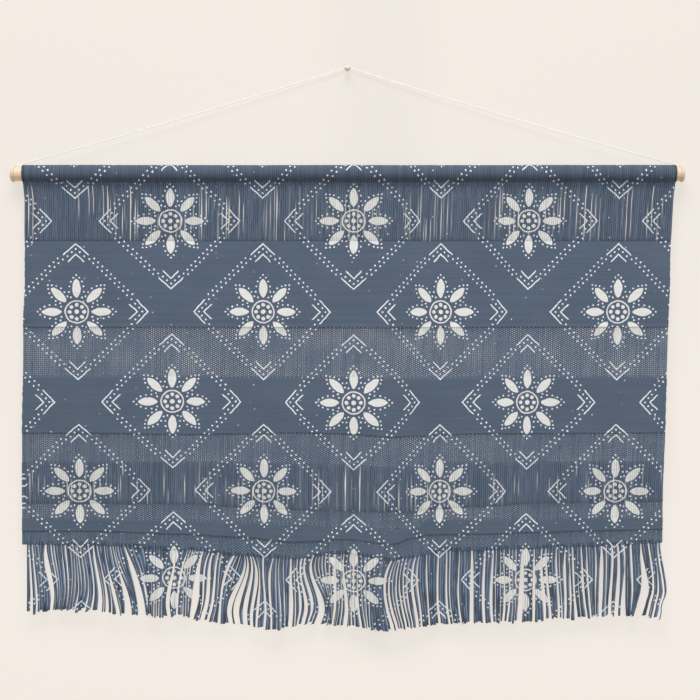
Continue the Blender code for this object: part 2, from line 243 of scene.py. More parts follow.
class GroupSheet(Graph):
    """A graph that is a node group, with named inputs and outputs."""

    KINDS = {"value": "NodeSocketFloat", "vector": "NodeSocketVector", "colour": "NodeSocketColor"}

    def __init__(self, name: str, inputs: dict[str, str], outputs: dict[str, str]) -> None:
        """Starts the group.

        Args:
            name: The group's name.
            inputs: Kind of each input by name.
            outputs: Kind of each output by name.
        """
        super().__init__(bpy.data.node_groups.new(name, "ShaderNodeTree"))
        for side, sockets in (("INPUT", inputs), ("OUTPUT", outputs)):
            for label, kind in sockets.items():
                socket_type = self.KINDS[kind]
                self.tree.interface.new_socket(name=label, in_out=side, socket_type=socket_type)
        self.entry = self.node("NodeGroupInput")
        self.exit = self.node("NodeGroupOutput")

    def given(self, name: str) -> Wire:
        """An input of the group."""
        return Wire(self, self.entry.outputs[name])

    def give(self, name: str, value: Wire) -> None:
        """Sends a wire to an output of the group."""
        self.feed(self.exit.inputs[name], value)


def numbers(*names: str) -> dict[str, str]:
    """Sockets that each carry one number."""
    return dict.fromkeys(names, "value")


# Bench helpers


def clear_selection() -> None:
    """Deselects everything, CAD nodes too."""
    bpy.ops.object.select_all(action="DESELECT")


def select_only(obj: bpy.types.Object) -> None:
    """Makes one object the selected and active one.

    Args:
        obj: The object.
    """
    clear_selection()
    obj.select_set(True)
    bpy.context.view_layer.objects.active = obj


def named(name: str) -> bpy.types.Object:
    """Names the object that was just added.

    Args:
        name: The name for it and for its mesh.

    Returns:
        The object.
    """
    obj = bpy.context.object
    obj.name = name
    obj.data.name = name
    return obj


def finish_modifiers(obj: bpy.types.Object) -> None:
    """Applies every modifier of an object in order.

    Args:
        obj: The object.
    """
    select_only(obj)
    for modifier in list(obj.modifiers):
        bpy.ops.object.modifier_apply(modifier=modifier.name)


@contextmanager
def editing(select: Optional[str] = None) -> Iterator[None]:
    """Edit mode on the active object, with select_all's action run first where one is given.

    Args:
        select: What select_all does first, or none where the selection stays.

    Returns:
        A context at whose end edit mode ends.
    """
    bpy.ops.object.mode_set(mode="EDIT")
    if select is not None:
        bpy.ops.mesh.select_all(action=select)
    yield
    bpy.ops.object.mode_set(mode="OBJECT")


def choose_faces(
    obj: bpy.types.Object, wanted: Callable[[bpy.types.MeshPolygon], bool]
) -> None:
    """Selects the faces that pass a test, and nothing else.

    Args:
        obj: The active object.
        wanted: The test.
    """
    bpy.context.tool_settings.mesh_select_mode = (False, False, True)
    with editing("DESELECT"):
        pass
    for face in obj.data.polygons:
        face.select = wanted(face)


def turn_faces(obj: bpy.types.Object) -> None:
    """Turns every face of a mesh round.

    Args:
        obj: The mesh object.
    """
    select_only(obj)
    with editing("SELECT"):
        bpy.ops.mesh.flip_normals()


def thicken(obj: bpy.types.Object, thickness: float) -> None:
    """Gives a sheet its thickness, half to each side.

    Args:
        obj: The sheet.
        thickness: How thick it becomes.
    """
    wall = obj.modifiers.new("Thickness", "SOLIDIFY")
    wall.thickness = thickness
    wall.offset = 0.0
    finish_modifiers(obj)


def settle(obj: bpy.types.Object) -> None:
    """Puts the object's place, turn and size into its mesh."""
    select_only(obj)
    bpy.ops.object.transform_apply(location=True, rotation=True, scale=True)


def join(name: str, parts: Sequence[bpy.types.Object]) -> bpy.types.Object:
    """Joins several objects into one.

    Args:
        name: Name of the result.
        parts: The objects, of which the first is kept.

    Returns:
        The joined object.
    """
    clear_selection()
    for part in parts:
        part.select_set(True)
    bpy.context.view_layer.objects.active = parts[0]
    bpy.ops.object.join()
    return named(name)


def smooth(obj: bpy.types.Object, degrees: float) -> None:
    """Smooths the shading up to an angle."""
    select_only(obj)
    bpy.ops.object.shade_smooth_by_angle(angle=math.radians(degrees))


def fetch(rows: bpy.types.bpy_prop_collection, key: str, width: int = 3) -> np.ndarray:
    """One property of every item of a mesh's list.

    Args:
        rows: The list.
        key: The property's name.
        width: How many numbers it has.

    Returns:
        A row of numbers for each item.
    """
    flat = np.empty(len(rows) * width, dtype=np.float32)
    rows.foreach_get(key, flat)
    return flat.reshape(-1, width).astype(float)


def points_of(obj: bpy.types.Object) -> np.ndarray:
    """The vertex positions of a mesh as rows."""
    return fetch(obj.data.vertices, "co")


def move_points(obj: bpy.types.Object, points: np.ndarray) -> None:
    """Moves the vertices of a mesh to new positions."""
    obj.data.vertices.foreach_set("co", points.astype(np.float32).ravel())
    obj.data.update()


def add_grid(
    name: str, columns: int, rows: int
) -> tuple[bpy.types.Object, np.ndarray, np.ndarray]:
    """Adds a flat grid that is to be laid in its place.

    Args:
        name: The grid's name.
        columns: Squares across.
        rows: Squares down.

    Returns:
        The grid, and the number across and down of each of its corners.
    """
    clear_selection()
    bpy.ops.mesh.primitive_grid_add(x_subdivisions=columns, y_subdivisions=rows, size=1.0)
    obj = named(name)
    points = points_of(obj)
    i = np.rint((points[:, 0] + 0.5) * columns).astype(int)
    j = np.rint((0.5 - points[:, 1]) * rows).astype(int)
    return obj, i, j


def normals_of(obj: bpy.types.Object) -> np.ndarray:
    """The vertex normals of a mesh as rows."""
    return fetch(obj.data.vertex_normals, "vector")


def note(obj: bpy.types.Object, name: str, values: np.ndarray) -> None:
    """Writes an attribute with one number or one vector for each vertex.

    Args:
        obj: The mesh object.
        name: The attribute's name.
        values: One row for each vertex.
    """
    kind, key = ("FLOAT", "value") if values.ndim == 1 else ("FLOAT_VECTOR", "vector")
    old = obj.data.attributes.get(name)
    if old is not None:
        obj.data.attributes.remove(old)
    layer = obj.data.attributes.new(name, kind, "POINT")
    layer.data.foreach_set(key, values.astype(np.float32).ravel())


def uneven(*numbers: Union[float, np.ndarray]) -> np.ndarray:
    """A fixed uneven value between -1 and 1 for whole numbers, the same at each run.

    Args:
        *numbers: Whole numbers, or arrays of them.

    Returns:
        The value or values.
    """
    total = sum(np.asarray(n, dtype=float) * k for n, k in zip(numbers, (12.9898, 78.233, 37.719)))
    share = np.sin(total) * 43758.5453
    return 2.0 * (share - np.floor(share)) - 1.0


def wandering(x: np.ndarray, y: np.ndarray, seed: float) -> np.ndarray:
    """A smooth uneven value between about -1 and 1 over a surface.

    Args:
        x: Places across.
        y: Places down.
        seed: Tells one such surface from another.

    Returns:
        The values.
    """
    return (
        np.sin(x * 1.0 + 1.7 * np.sin(y * 0.7 + seed) + seed * 2.1)
        + np.sin(x * 2.3 - y * 1.9 + 1.3 * np.sin(x * 0.6 + seed) + seed * 5.3)
        + np.sin(y * 2.9 + x * 0.5 + seed * 3.7)
    ) / 3.0


# The drape of the cloth


class Weave(Enum):
    """How a band of the cloth is woven."""

    FLOAT = "bare upright yarns"
    OPEN = "upright ribs with small holes"
    CLOSE = "packed crossways picks"


class Band(NamedTuple):
    """A band's name, weave and the level of its top border."""

    name: str
    weave: Weave
    top: float


class Sag(NamedTuple):
    """How far the borders of bands 3 to 9 and the hem hang below their levels, in mm."""

    x: float
    drops: tuple[float, ...]


class Side(NamedTuple):
    """The side edges of the panel at one height."""

    z: float
    left: float
    right: float


class Flute(NamedTuple):
    """A soft upright fold: place, reach to each side and depth at the hem."""

    x: float
    reach: float
    depth: float


@dataclass(frozen=True)
class Drape:
    """Where the cloth hangs: its borders, edges and soft flutes."""

    yarns: int = 311
    seam_z: float = -0.1062
    hem_z: float = -0.4364
    panel_y: float = -0.0090
    flute_growth: float = 1.3
    bands: tuple[Band, ...] = (
        Band("upper_floats", Weave.FLOAT, -0.1050),
        Band("close_weave_1", Weave.CLOSE, -0.1588),
        Band("open_weave_1", Weave.OPEN, -0.2376),
        Band("close_weave_2", Weave.CLOSE, -0.2828),
        Band("open_weave_2", Weave.OPEN, -0.3347),
        Band("lower_floats", Weave.FLOAT, -0.3616),
        Band("open_weave_3", Weave.OPEN, -0.3991),
        Band("close_weave_3", Weave.CLOSE, -0.4126),
        Band("open_weave_4", Weave.OPEN, -0.4245),
    )
    sags: tuple[Sag, ...] = (
        Sag(-0.2954, (0.0, 0.0, 0.0, 0.0, 0.0, 0.0, 0.0, 0.0)),
        Sag(-0.2267, (0.0, 0.1, 0.0, -0.2, 0.2, 0.9, 0.0, 0.9)),
        Sag(-0.1534, (0.1, 0.3, 1.2, -0.4, 0.5, 2.2, 2.7, 4.6)),
        Sag(-0.0985, (0.2, 0.6, 0.8, 0.4, 3.3, 4.0, 5.5, 10.5)),
        Sag(-0.0472, (0.3, 0.9, -0.5, 1.4, 6.0, 6.0, 10.1, 12.8)),
        Sag(-0.0014, (0.3, 1.2, 0.7, 2.7, 7.5, 9.2, 7.8, 8.7)),
        Sag(0.0408, (0.4, 1.6, 3.5, 4.9, 8.0, 10.8, 11.5, 14.5)),
        Sag(0.0591, (0.4, 1.7, 2.8, 4.9, 8.0, 11.0, 6.0, 11.5)),
        Sag(0.0747, (0.3, 1.6, 2.3, 4.9, 6.4, 1.4, 3.5, 8.7)),
        Sag(0.0921, (0.2, 1.6, 1.5, 0.5, 4.9, 1.4, 3.1, 5.9)),
        Sag(0.1159, (0.1, 1.4, 0.5, 0.4, 3.2, 1.4, 2.7, 5.5)),
        Sag(0.1672, (0.0, 0.9, 0.4, -0.2, 0.2, 1.4, 1.1, 3.7)),
        Sag(0.2313, (0.0, 0.5, 0.0, -0.4, -0.7, 0.4, -0.5, 1.5)),
        Sag(0.2863, (0.0, 0.3, -0.3, -0.4, -1.7, -0.5, -1.8, -1.8)),
    )
    sides: tuple[Side, ...] = (
        Side(-0.1062, -0.2972, 0.3002),
        Side(-0.1210, -0.2957, 0.2984),
        Side(-0.1540, -0.2958, 0.2966),
        Side(-0.1620, -0.2955, 0.2958),
        Side(-0.2040, -0.2957, 0.2951),
        Side(-0.2310, -0.2972, 0.2939),
        Side(-0.2860, -0.2974, 0.2922),
        Side(-0.3410, -0.2983, 0.2908),
        Side(-0.3820, -0.2983, 0.2887),
        Side(-0.4380, -0.2982, 0.2881),
    )
    flutes: tuple[Flute, ...] = (
        Flute(-0.262, 0.048, -0.0014),
        Flute(-0.205, 0.040, 0.0020),
        Flute(-0.118, 0.050, -0.0018),
        Flute(-0.068, 0.034, 0.0024),
        Flute(-0.012, 0.042, -0.0026),
        Flute(0.041, 0.036, 0.0040),
        Flute(0.083, 0.030, -0.0022),
        Flute(0.148, 0.046, 0.0016),
        Flute(0.226, 0.050, -0.0012),
        Flute(0.281, 0.034, 0.0018),
    )

    def border(self, index: int, x: np.ndarray) -> np.ndarray:
        """Height of the top border of a band.

        Args:
            index: The band's number, or one past the last for the hem.
            x: Places across.

        Returns:
            The heights at those places.
        """
        level = self.hem_z if index == len(self.bands) else self.bands[index].top
        if index < 2:
            return np.full_like(x, level)
        stations = [sag.x for sag in self.sags]
        drops = np.array([sag.drops[index - 2] for sag in self.sags]) * MM
        place = np.clip(np.interp(x, stations, range(len(stations))), 0, len(stations) - 1)
        i = np.minimum(place.astype(int), len(stations) - 2)
        share = 0.5 - 0.5 * np.cos(math.pi * (place - i))
        return level - (drops[i] + (drops[i + 1] - drops[i]) * share)

    def tall(self, index: int) -> float:
        """Height of a band at the cloth's middle."""
        middle = np.array(0.0)
        return float(self.border(index, middle) - self.border(index + 1, middle))

    def edges(self, z: np.ndarray) -> tuple[np.ndarray, np.ndarray]:
        """The left and right edge of the panel at some heights."""
        heights, left, right = zip(*reversed(self.sides))
        return np.interp(z, heights, left), np.interp(z, heights, right)

    def depth(self, x: np.ndarray, z: np.ndarray) -> np.ndarray:
        """The y of the cloth's middle surface at some places.

        Args:
            x: Places across.
            z: Heights.

        Returns:
            The y at those places.
        """
        fall = np.clip((self.seam_z - z) / (self.seam_z - self.hem_z), 0.0, 1.1)
        total = np.zeros_like(x)
        for flute in self.flutes:
            away = (x - flute.x) / flute.reach
            total += flute.depth * np.exp(-2.0 * away * away)
        return self.panel_y - total * fall**self.flute_growth

    def lay(self, band: int, across: np.ndarray, down: np.ndarray) -> np.ndarray:
        """Places on the middle surface of one band.

        Args:
            band: The band's number.
            across: Shares across the cloth.
            down: Shares down the band.

        Returns:
            Places, with x, y and z in the last axis.
        """
        across, down = np.broadcast_arrays(across, down)
        x = -0.3 + 0.6 * across
        # The borders depend on x and the edges on z, so both are drawn nearer in turn
        for _ in range(4):
            upper, lower = self.border(band, x), self.border(band + 1, x)
            z = upper + (lower - upper) * down
            left, right = self.edges(z)
            x = left + (right - left) * across
        return np.stack((x, self.depth(x, z), z), axis=-1)


class Station(NamedTuple):
    """A place on the cloth, in mm, and where it falls in the print's plan."""

    place: float
    plan: float


def table(kind: Callable[..., NamedTuple], *rows: tuple[float, ...]) -> tuple[NamedTuple, ...]:
    """A table whose columns are the names of one kind of row."""
    return tuple(kind(*row) for row in rows)


def read_off(rows: Sequence[tuple[float, float]], place: np.ndarray) -> np.ndarray:
    """The second column of a table at places that are in its first column."""
    places, values = zip(*rows)
    return np.interp(place, places, values)


@dataclass(frozen=True)
class PrintPlan:
    """How the print's even repeat lies on the cloth, in the plan's own millimetres."""

    across_repeat: float = 165.0
    down_repeat: float = 82.3
    middle: float = 5.6
    first_row: float = -140.5
    panel: float = 329.0
    narrowing: float = 0.02
    across: tuple[Station, ...] = table(
        Station,
        (-300, -1.7897), (-250, -1.5046), (-206, -1.2528), (-184, -1.1271), (-166, -1.0229),
        (-152, -0.9404), (-142, -0.8786), (-126, -0.7812), (-104, -0.6568), (-75, -0.4849),
        (-52, -0.3409), (-16, -0.1273), (0, -0.0334), (14, 0.0488), (28, 0.1286), (42, 0.2113),
        (54, 0.2903), (72, 0.4135), (92, 0.5399), (108, 0.6366), (122, 0.7178), (131, 0.7715),
        (142, 0.8441), (153, 0.9172), (166, 0.9998), (189, 1.1401), (200, 1.2047), (214, 1.2842),
        (224, 1.3447), (236, 1.4225), (250, 1.5081), (268, 1.6113), (279, 1.6767), (290, 1.7458),
        (310, 1.865),
    )
    droop: tuple[Station, ...] = table(
        Station,
        (-249.2, 0.0), (-162.0, -1.6), (-77.5, -0.2), (5.7, 1.5), (85.5, 0.2), (248.6, 0.2)
    )
    down: tuple[Station, ...] = table(
        Station,
        (-550.9, 5.0), (-502.0, 4.42), (-468.9, 4.0), (-387.9, 3.0), (-306.5, 2.0),
        (-223.8, 1.0), (-140.5, 0.0), (-57.5, -1.0), (25.5, -2.0),
    )

    def read(self, x: np.ndarray, z: np.ndarray) -> np.ndarray:
        """The plan's coordinates of some places.

        Args:
            x: Places across, in metres.
            z: Heights, in metres.

        Returns:
            Vectors in the plan's millimetres.
        """
        height = z / MM
        fall = (self.first_row - height) / self.panel
        level = self.middle + (x / MM - self.middle) / (1.0 - self.narrowing * fall)
        u = read_off(self.across, level)
        v = read_off(self.down, height + read_off(self.droop, level) * np.clip(fall, 0.0, 1.2))
        return np.stack((u * self.across_repeat, v * self.down_repeat, 0.0 * u), axis=-1)


# One pick of the open weave, in metres, and one yarn across, in millimetres
PICK = 0.00186
YARN = 1.93

DRAPE = Drape()
PLAN = PrintPlan()


# Finishes


@dataclass(frozen=True)
class Chevron:
    """Two nested angles with dots between: half line, slopes, reaches and spots, in plan mm."""

    half_line: float = 0.52
    outer_slope: float = 0.9
    outer_square: float = 0.743
    outer_reach: float = 11.0
    inner_start: float = 9.3
    inner_square: float = 0.707
    inner_reach: float = 6.9
    dot: float = 0.80
    dots: tuple[tuple[float, float], ...] = ((4.7, 0.0), (7.5, 3.6), (11.0, 7.2))


class Petal(NamedTuple):
    """A petal: its middle's distance from the heart, half its length and half its width."""

    middle: float
    half: float
    width: float


class DotRow(NamedTuple):
    """A side of the lozenge: its distance, where its dots start and the last one's number."""

    distance: float
    start: float
    last: float


@dataclass(frozen=True)
class Flower:
    """The eight-petalled flower and its lozenge, in plan mm."""

    top_corner: float = 61.55
    side_corner: float = 61.8
    dot_pitch: float = 5.13
    dot: float = 0.78
    dot_rows: tuple[DotRow, ...] = (DotRow(45.35, 2.565, 4.0), DotRow(41.75, 0.0, 5.0))
    heart_ring: float = 6.35
    heart_dot: float = 1.7
    centre: float = 2.1
    ring: float = 9.95
    half_ring: float = 0.6
    heart_stretch: float = 1.005
    petal_stretch: float = 1.015
    seed: float = 0.75
    upright_seeds: tuple[tuple[float, float], ...] = (
        (4.7, 13.2), (6.4, 18.1), (6.1, 23.0), (4.7, 27.4), (2.6, 31.0), (0.0, 33.4),
    )
    slanting_seeds: tuple[tuple[float, float], ...] = (
        (4.5, 15.4), (5.6, 19.8), (5.8, 24.2), (4.3, 28.6), (2.2, 31.7), (0.0, 34.3),
    )
    upright_petal: Petal = Petal(21.3, 8.6, 3.7)
    slanting_petal: Petal = Petal(21.5, 8.9, 3.6)
    fullness: float = 0.7


CHEVRON = Chevron()
FLOWER = Flower()


class Groups:
    """The node groups that several finishes share, each built once."""

    def __init__(self) -> None:
        """Builds every group."""
        self.chevron = self.build_chevron()
        self.lattice = self.build_lattice()
        self.yarn = self.build_yarn()
        self.picks = self.build_picks()
        self.dye = self.build_dye()
        self.grain = self.build_grain()

    @staticmethod
    def build_chevron() -> bpy.types.NodeTree:
        """Two nested angles with dots between, as a distance to the nearest edge.

        Returns:
            The group's node tree.
        """
        g = GroupSheet("nested chevrons", numbers("Inside", "Across"), numbers("Distance"))
        inside, across, size = g.given("Inside"), g.given("Across"), CHEVRON
        outer = g.math("ABSOLUTE", inside - across * size.outer_slope) * size.outer_square
        outer = g.math("MAXIMUM", outer - size.half_line, across - size.outer_reach)
        inner = g.math("ABSOLUTE", inside - across - size.inner_start) * size.inner_square
        inner = g.math("MAXIMUM", inner - size.half_line, across - size.inner_reach)
        spot = g.vector(inside, across)
        dots = g.least(*(g.from_spot(spot, *place) for place in size.dots))
        g.give("Distance", g.least(outer, inner, dots - size.dot))
        return g.tree

    @staticmethod
    def folded(g: Graph, x: Wire, y: Wire) -> tuple[Wire, Wire]:
        """A place folded on the upright and level petals, and on the slanting ones.

        Args:
            g: The graph that is written.
            x: Distance across.
            y: Distance down.

        Returns:
            The place on the straight petals, and on the slanting ones.
        """
        axis = g.vector(g.math("MINIMUM", x, y), g.math("MAXIMUM", x, y))
        slant = g.vector(g.math("ABSOLUTE", x - y) * DIAGONAL, (x + y) * DIAGONAL)
        return axis, slant

    def build_lattice(self) -> bpy.types.NodeTree:
        """The print: an eight-petalled flower in a dotted lozenge, in half-drop rows.

        Returns:
            The group's node tree.
        """
        g = GroupSheet("flower lattice", {"Plan": "vector"}, numbers("Ink", "Fine", "Specks"))
        plan, size = g.given("Plan"), FLOWER
        x, y, _ = g.parts(plan)
        wobble = (g.noise(plan, 0.16, 2.0) - 0.5) * 1.5
        sway = (g.noise(g.vector(y + 57.0, x), 0.2, 2.0) - 0.5) * 1.5
        x, y = x + wobble, y + sway
        a = x * (1 / PLAN.across_repeat) + y * (0.5 / PLAN.down_repeat)
        b = x * (1 / PLAN.across_repeat) - y * (0.5 / PLAN.down_repeat)
        a, b = a - g.math("ROUND", a), b - g.math("ROUND", b)
        x = g.math("ABSOLUTE", a + b) * (PLAN.across_repeat / 2)
        y = g.math("ABSOLUTE", a - b) * PLAN.down_repeat
        # Corners of the lozenge
        top = g.use(self.chevron, Inside=size.top_corner - y, Across=x)("Distance")
        side = g.use(self.chevron, Inside=size.side_corner - x, Across=y)("Distance")
        # Sides of the lozenge: two staggered rows of dots
        out, along = (x + y) * DIAGONAL, g.math("ABSOLUTE", x - y) * DIAGONAL
        rows = []
        for row in size.dot_rows:
            place = along - row.start
            number = g.math("MINIMUM", g.math("ROUND", place / size.dot_pitch), row.last)
            spot = g.vector(out, place - g.math("MAXIMUM", number, 0.0) * size.dot_pitch)
            rows.append(g.from_spot(spot, row.distance, 0.0) - size.dot)
        # The flower's heart, then its petals, folded on their eight directions
        folds = self.folded(g, x / size.heart_stretch, y)
        heart = g.least(*(g.from_spot(fold, 0.0, size.heart_ring) for fold in folds))
        centre = g.from_spot(folds[0], 0.0, 0.0)
        ring = g.math("ABSOLUTE", centre - size.ring) - size.half_ring
        axis, slant = self.folded(g, x / size.petal_stretch, y)
        seeds, petals = [], []
        for spot, places, petal in (
            (axis, size.upright_seeds, size.upright_petal),
            (slant, size.slanting_seeds, size.slanting_petal),
        ):
            seeds += [g.from_spot(spot, *place) for place in places]
            s, r, _ = g.parts(spot)
            t = (r - petal.middle) / petal.half
            swell = 1.0 - t * t
            bulge = g.math("POWER", g.math("ABSOLUTE", swell), size.fullness)
            petals.append(s - bulge * g.math("SIGN", swell) * petal.width)
        fine = g.least(top, side, *rows, g.least(*seeds) - size.seed)
        shapes = g.least(fine, heart - size.heart_dot, centre - size.centre, ring, *petals)
        g.give("Ink", g.ramp(shapes, -0.22, 0.22, 1.0, 0.0))
        g.give("Fine", g.ramp(fine, 0.0, 0.3, 1.0, 0.0))
        # A few stray specks of ink
        cells = g.node("ShaderNodeTexVoronoi", voronoi_dimensions="2D", feature="F1")
        g.feed(cells.inputs["Vector"], plan)
        cells.inputs["Scale"].default_value = 1 / 15.0
        red, green, _ = g.parts(Wire(g, cells.outputs["Color"]))
        size = g.ramp(red, 0.35, 1.0, 0.0, 0.055)
        speck = g.ramp(size - Wire(g, cells.outputs["Distance"]), 0.0, 0.02)
        g.give("Specks", speck * g.ramp(green, 0.0, 1.0, 0.25, 0.8))
        return g.tree

    @staticmethod
    def build_yarn() -> bpy.types.NodeTree:
        """A plied yarn: slanting plies with fine fibres, its own uneven tone, painted crease shade
        at its edges, and painted light streaks and dots.

        Returns:
            The group's node tree.
        """
        given = numbers("Number", "Phase", "Turns", "Spread", "Streak", "Lean", "Dots")
        g = GroupSheet("plied yarn", {"Round": "vector", **given}, numbers("Height", "Tone"))
        cx, cy, along = g.parts(g.given("Round"))
        number = g.given("Number")
        turn = along * g.given("Turns") + number * 1.7
        wave = g.math("SINE", turn) * cy + g.math("COSINE", turn) * cx
        fibre = g.noise(g.vector(cx * 1.6 + number * 3.1, cy * 1.6, along * 0.9), 2.2, 3.0)
        g.give("Height", g.math("ABSOLUTE", wave) * 0.7 + fibre * 0.5)
        slow = g.noise(g.vector(number * 7.3, along * 0.05, 0.0), 1.0, 1.0)
        own = g.chance(number) - 0.5
        tone = own * 1.0 + (slow - 0.5) * 1.2 + (fibre - 0.5) * 0.7
        # Painted shade: darker towards the yarn's edges, where the crease between yarns falls.
        out = g.math("ABSOLUTE", cx)
        painted_crease_shade = g.ramp(out, 0.35, 1.0, 0.15, -0.33)
        # Painted light: pale streaks along one side of the yarn, standing in for light showing
        # between yarns.
        loose = g.noise(g.vector(number * 5.1, along * 0.055, 3.0), 1.0, 1.0)
        side = g.ramp(cx + g.given("Lean"), 0.42, 0.92)
        streak = side * g.ramp(loose + g.given("Lean") * 0.4, 0.47, 0.70) * g.given("Streak")
        # Painted light: pale dots at the yarn's edges at each pick, standing in for light through
        # the small holes between ribs.
        space = number + g.math("GREATER_THAN", cx, 0.0)
        turn = (g.given("Phase") - 0.25) * math.tau + space * math.pi
        patch = g.noise(g.vector(number * 0.3, along * 0.09, 9.0), 1.0, 2.0)
        patch = g.ramp(patch, 0.3, 0.6, 0.5, 1.0)
        dots = g.ramp(g.math("COSINE", turn), 0.1, 0.8) * g.ramp(out, 0.4, 0.9) * patch
        painted_light = streak + dots * g.given("Dots")
        g.give("Tone", tone * g.given("Spread") + painted_crease_shade + painted_light + 1.0)
        return g.tree

    @staticmethod
    def build_picks() -> bpy.types.NodeTree:
        """Close weave: packed crossways picks over faint upright ribs.

        Returns:
            The group's node tree.
        """
        given = numbers("Pitch", "Rib", "Spread")
        g = GroupSheet("packed picks", {"Weft": "vector", **given}, numbers("Height", "Tone"))
        weft = g.given("Weft")
        across, down, _ = g.parts(weft)
        drift = (g.noise(g.stretched(weft, (0.05, 0.22, 1.0)), 1.0, 2.0) - 0.5) * 3.0
        row = (down + drift * 0.35) / g.given("Pitch")
        number = g.math("FLOOR", row)
        bead = g.math("SINE", across * (math.pi / YARN) + number * math.pi)
        swell = g.math("SINE", (row - number) * math.pi)
        rib = g.math("COSINE", across * (math.tau / YARN))
        fibre = g.noise(g.stretched(weft, (0.7, 4.0, 1.0)), 1.6, 3.0)
        g.give("Height", swell * 0.5 + bead * 0.16 + rib * g.given("Rib") + fibre * 0.35)
        streak = g.noise(g.stretched(weft, (0.035, 1.1, 1.0)), 1.0, 3.0)
        patch = g.noise(g.stretched(weft, (0.02, 0.03, 1.0)), 1.0, 2.0)
        grain = g.noise(g.stretched(weft, (0.9, 1.1, 1.0)), 1.0, 3.0)
        tone = (streak - 0.5) * 1.0 + (patch - 0.5) * 0.9 + (g.chance(number) - 0.5) * 0.4
        tone = tone + (fibre - 0.5) * 0.5 + (grain - 0.5) * 0.8
        g.give("Tone", tone * g.given("Spread") + 1.0)
        return g.tree

    @staticmethod
    def build_dye() -> bpy.types.NodeTree:
        """Colour of the printed cloth from its ground, its ink and the side that faces out.

        Returns:
            The group's node tree.
        """
        colours = dict.fromkeys(("Ground", "Reverse", "Paste"), "colour")
        given = numbers("Ink", "Fine", "Specks", "Face", "Tone")
        inputs = {**colours, **given, "Place": "vector"}
        g = GroupSheet("printed dye", inputs, {"Colour": "colour"})
        face = g.ramp(g.given("Face"), 0.12, 0.5)
        slow = g.noise(g.stretched(g.given("Place"), (45.0, 45.0, 90.0)), 1.0, 3.0)
        worn = g.stretched(g.given("Ground"), (1.07, 0.99, 0.97))
        ground = g.mix(g.ramp(slow, 0.48, 0.66, 0.0, 0.8), g.given("Ground"), worn)
        ground = g.mix(face, g.given("Reverse"), ground)
        ground = g.tinted(ground, g.given("Tone"))
        cover = g.ramp(g.given("Face"), 0.5, 0.72, 0.0, 1.0)
        soaked = g.ramp(g.given("Face"), 0.0, 0.2, 0.32, 0.0)
        ink = g.math("MAXIMUM", g.given("Ink"), g.given("Specks"))
        share = ink * g.math("MAXIMUM", cover, soaked)
        even = g.math("MINIMUM", g.given("Tone"), 1.1) * 0.7 + 0.3
        thin = g.stretched(g.given("Paste"), (1.07, 1.13, 1.22))
        paste = g.tinted(g.mix(g.given("Fine"), g.given("Paste"), thin), even)
        g.give("Colour", g.mix(share * 0.97, ground, paste))
        return g.tree

    @staticmethod
    def build_grain() -> bpy.types.NodeTree:
        """Pale wood: long fine grain, short flecks and end grain.

        Returns:
            The group's node tree.
        """
        g = GroupSheet(
            "long grain",
            {"Place": "vector", "Light": "colour", "Dark": "colour"},
            {"Colour": "colour", "Height": "value"},
        )
        place = g.given("Place")
        long = g.stretched(place, (14.0, 520.0, 520.0))
        fine = g.noise(long, 1.0, 4.0)
        fleck = g.noise(g.stretched(place, (60.0, 1900.0, 1900.0)), 1.0, 2.0)
        cloud = g.noise(g.stretched(place, (9.0, 60.0, 60.0)), 1.0, 2.0)
        share = (fine - 0.5) * 1.3 + (cloud - 0.5) * 0.8 + 0.42
        share = share + g.ramp(fleck, 0.62, 0.75) * 0.35
        g.give("Colour", g.mix(g.ramp(share, 0.0, 1.0), g.given("Light"), g.given("Dark")))
        g.give("Height", fine * 0.6 + fleck * 0.4)
        return g.tree


def new_finish(name: str) -> tuple[Graph, bpy.types.Node]:
    """Starts a material.

    Args:
        name: The material's name.

    Returns:
        Its graph and its Principled shader.
    """
    material = bpy.data.materials.new(name)
    material.use_nodes = True
    shader = material.node_tree.nodes["Principled BSDF"]
    return Graph(material.node_tree), shader


@dataclass(frozen=True)
class ClothDye:
    """The cloth's colours, in linear light."""

    ground: Colour = (0.090, 0.123, 0.176)
    reverse: Colour = (0.19, 0.225, 0.28)
    paste: Colour = (0.785, 0.795, 0.785)


class Surface(Enum):
    """Which structure a cloth finish has."""

    YARN = "yarn"
    PICKS = "picks"


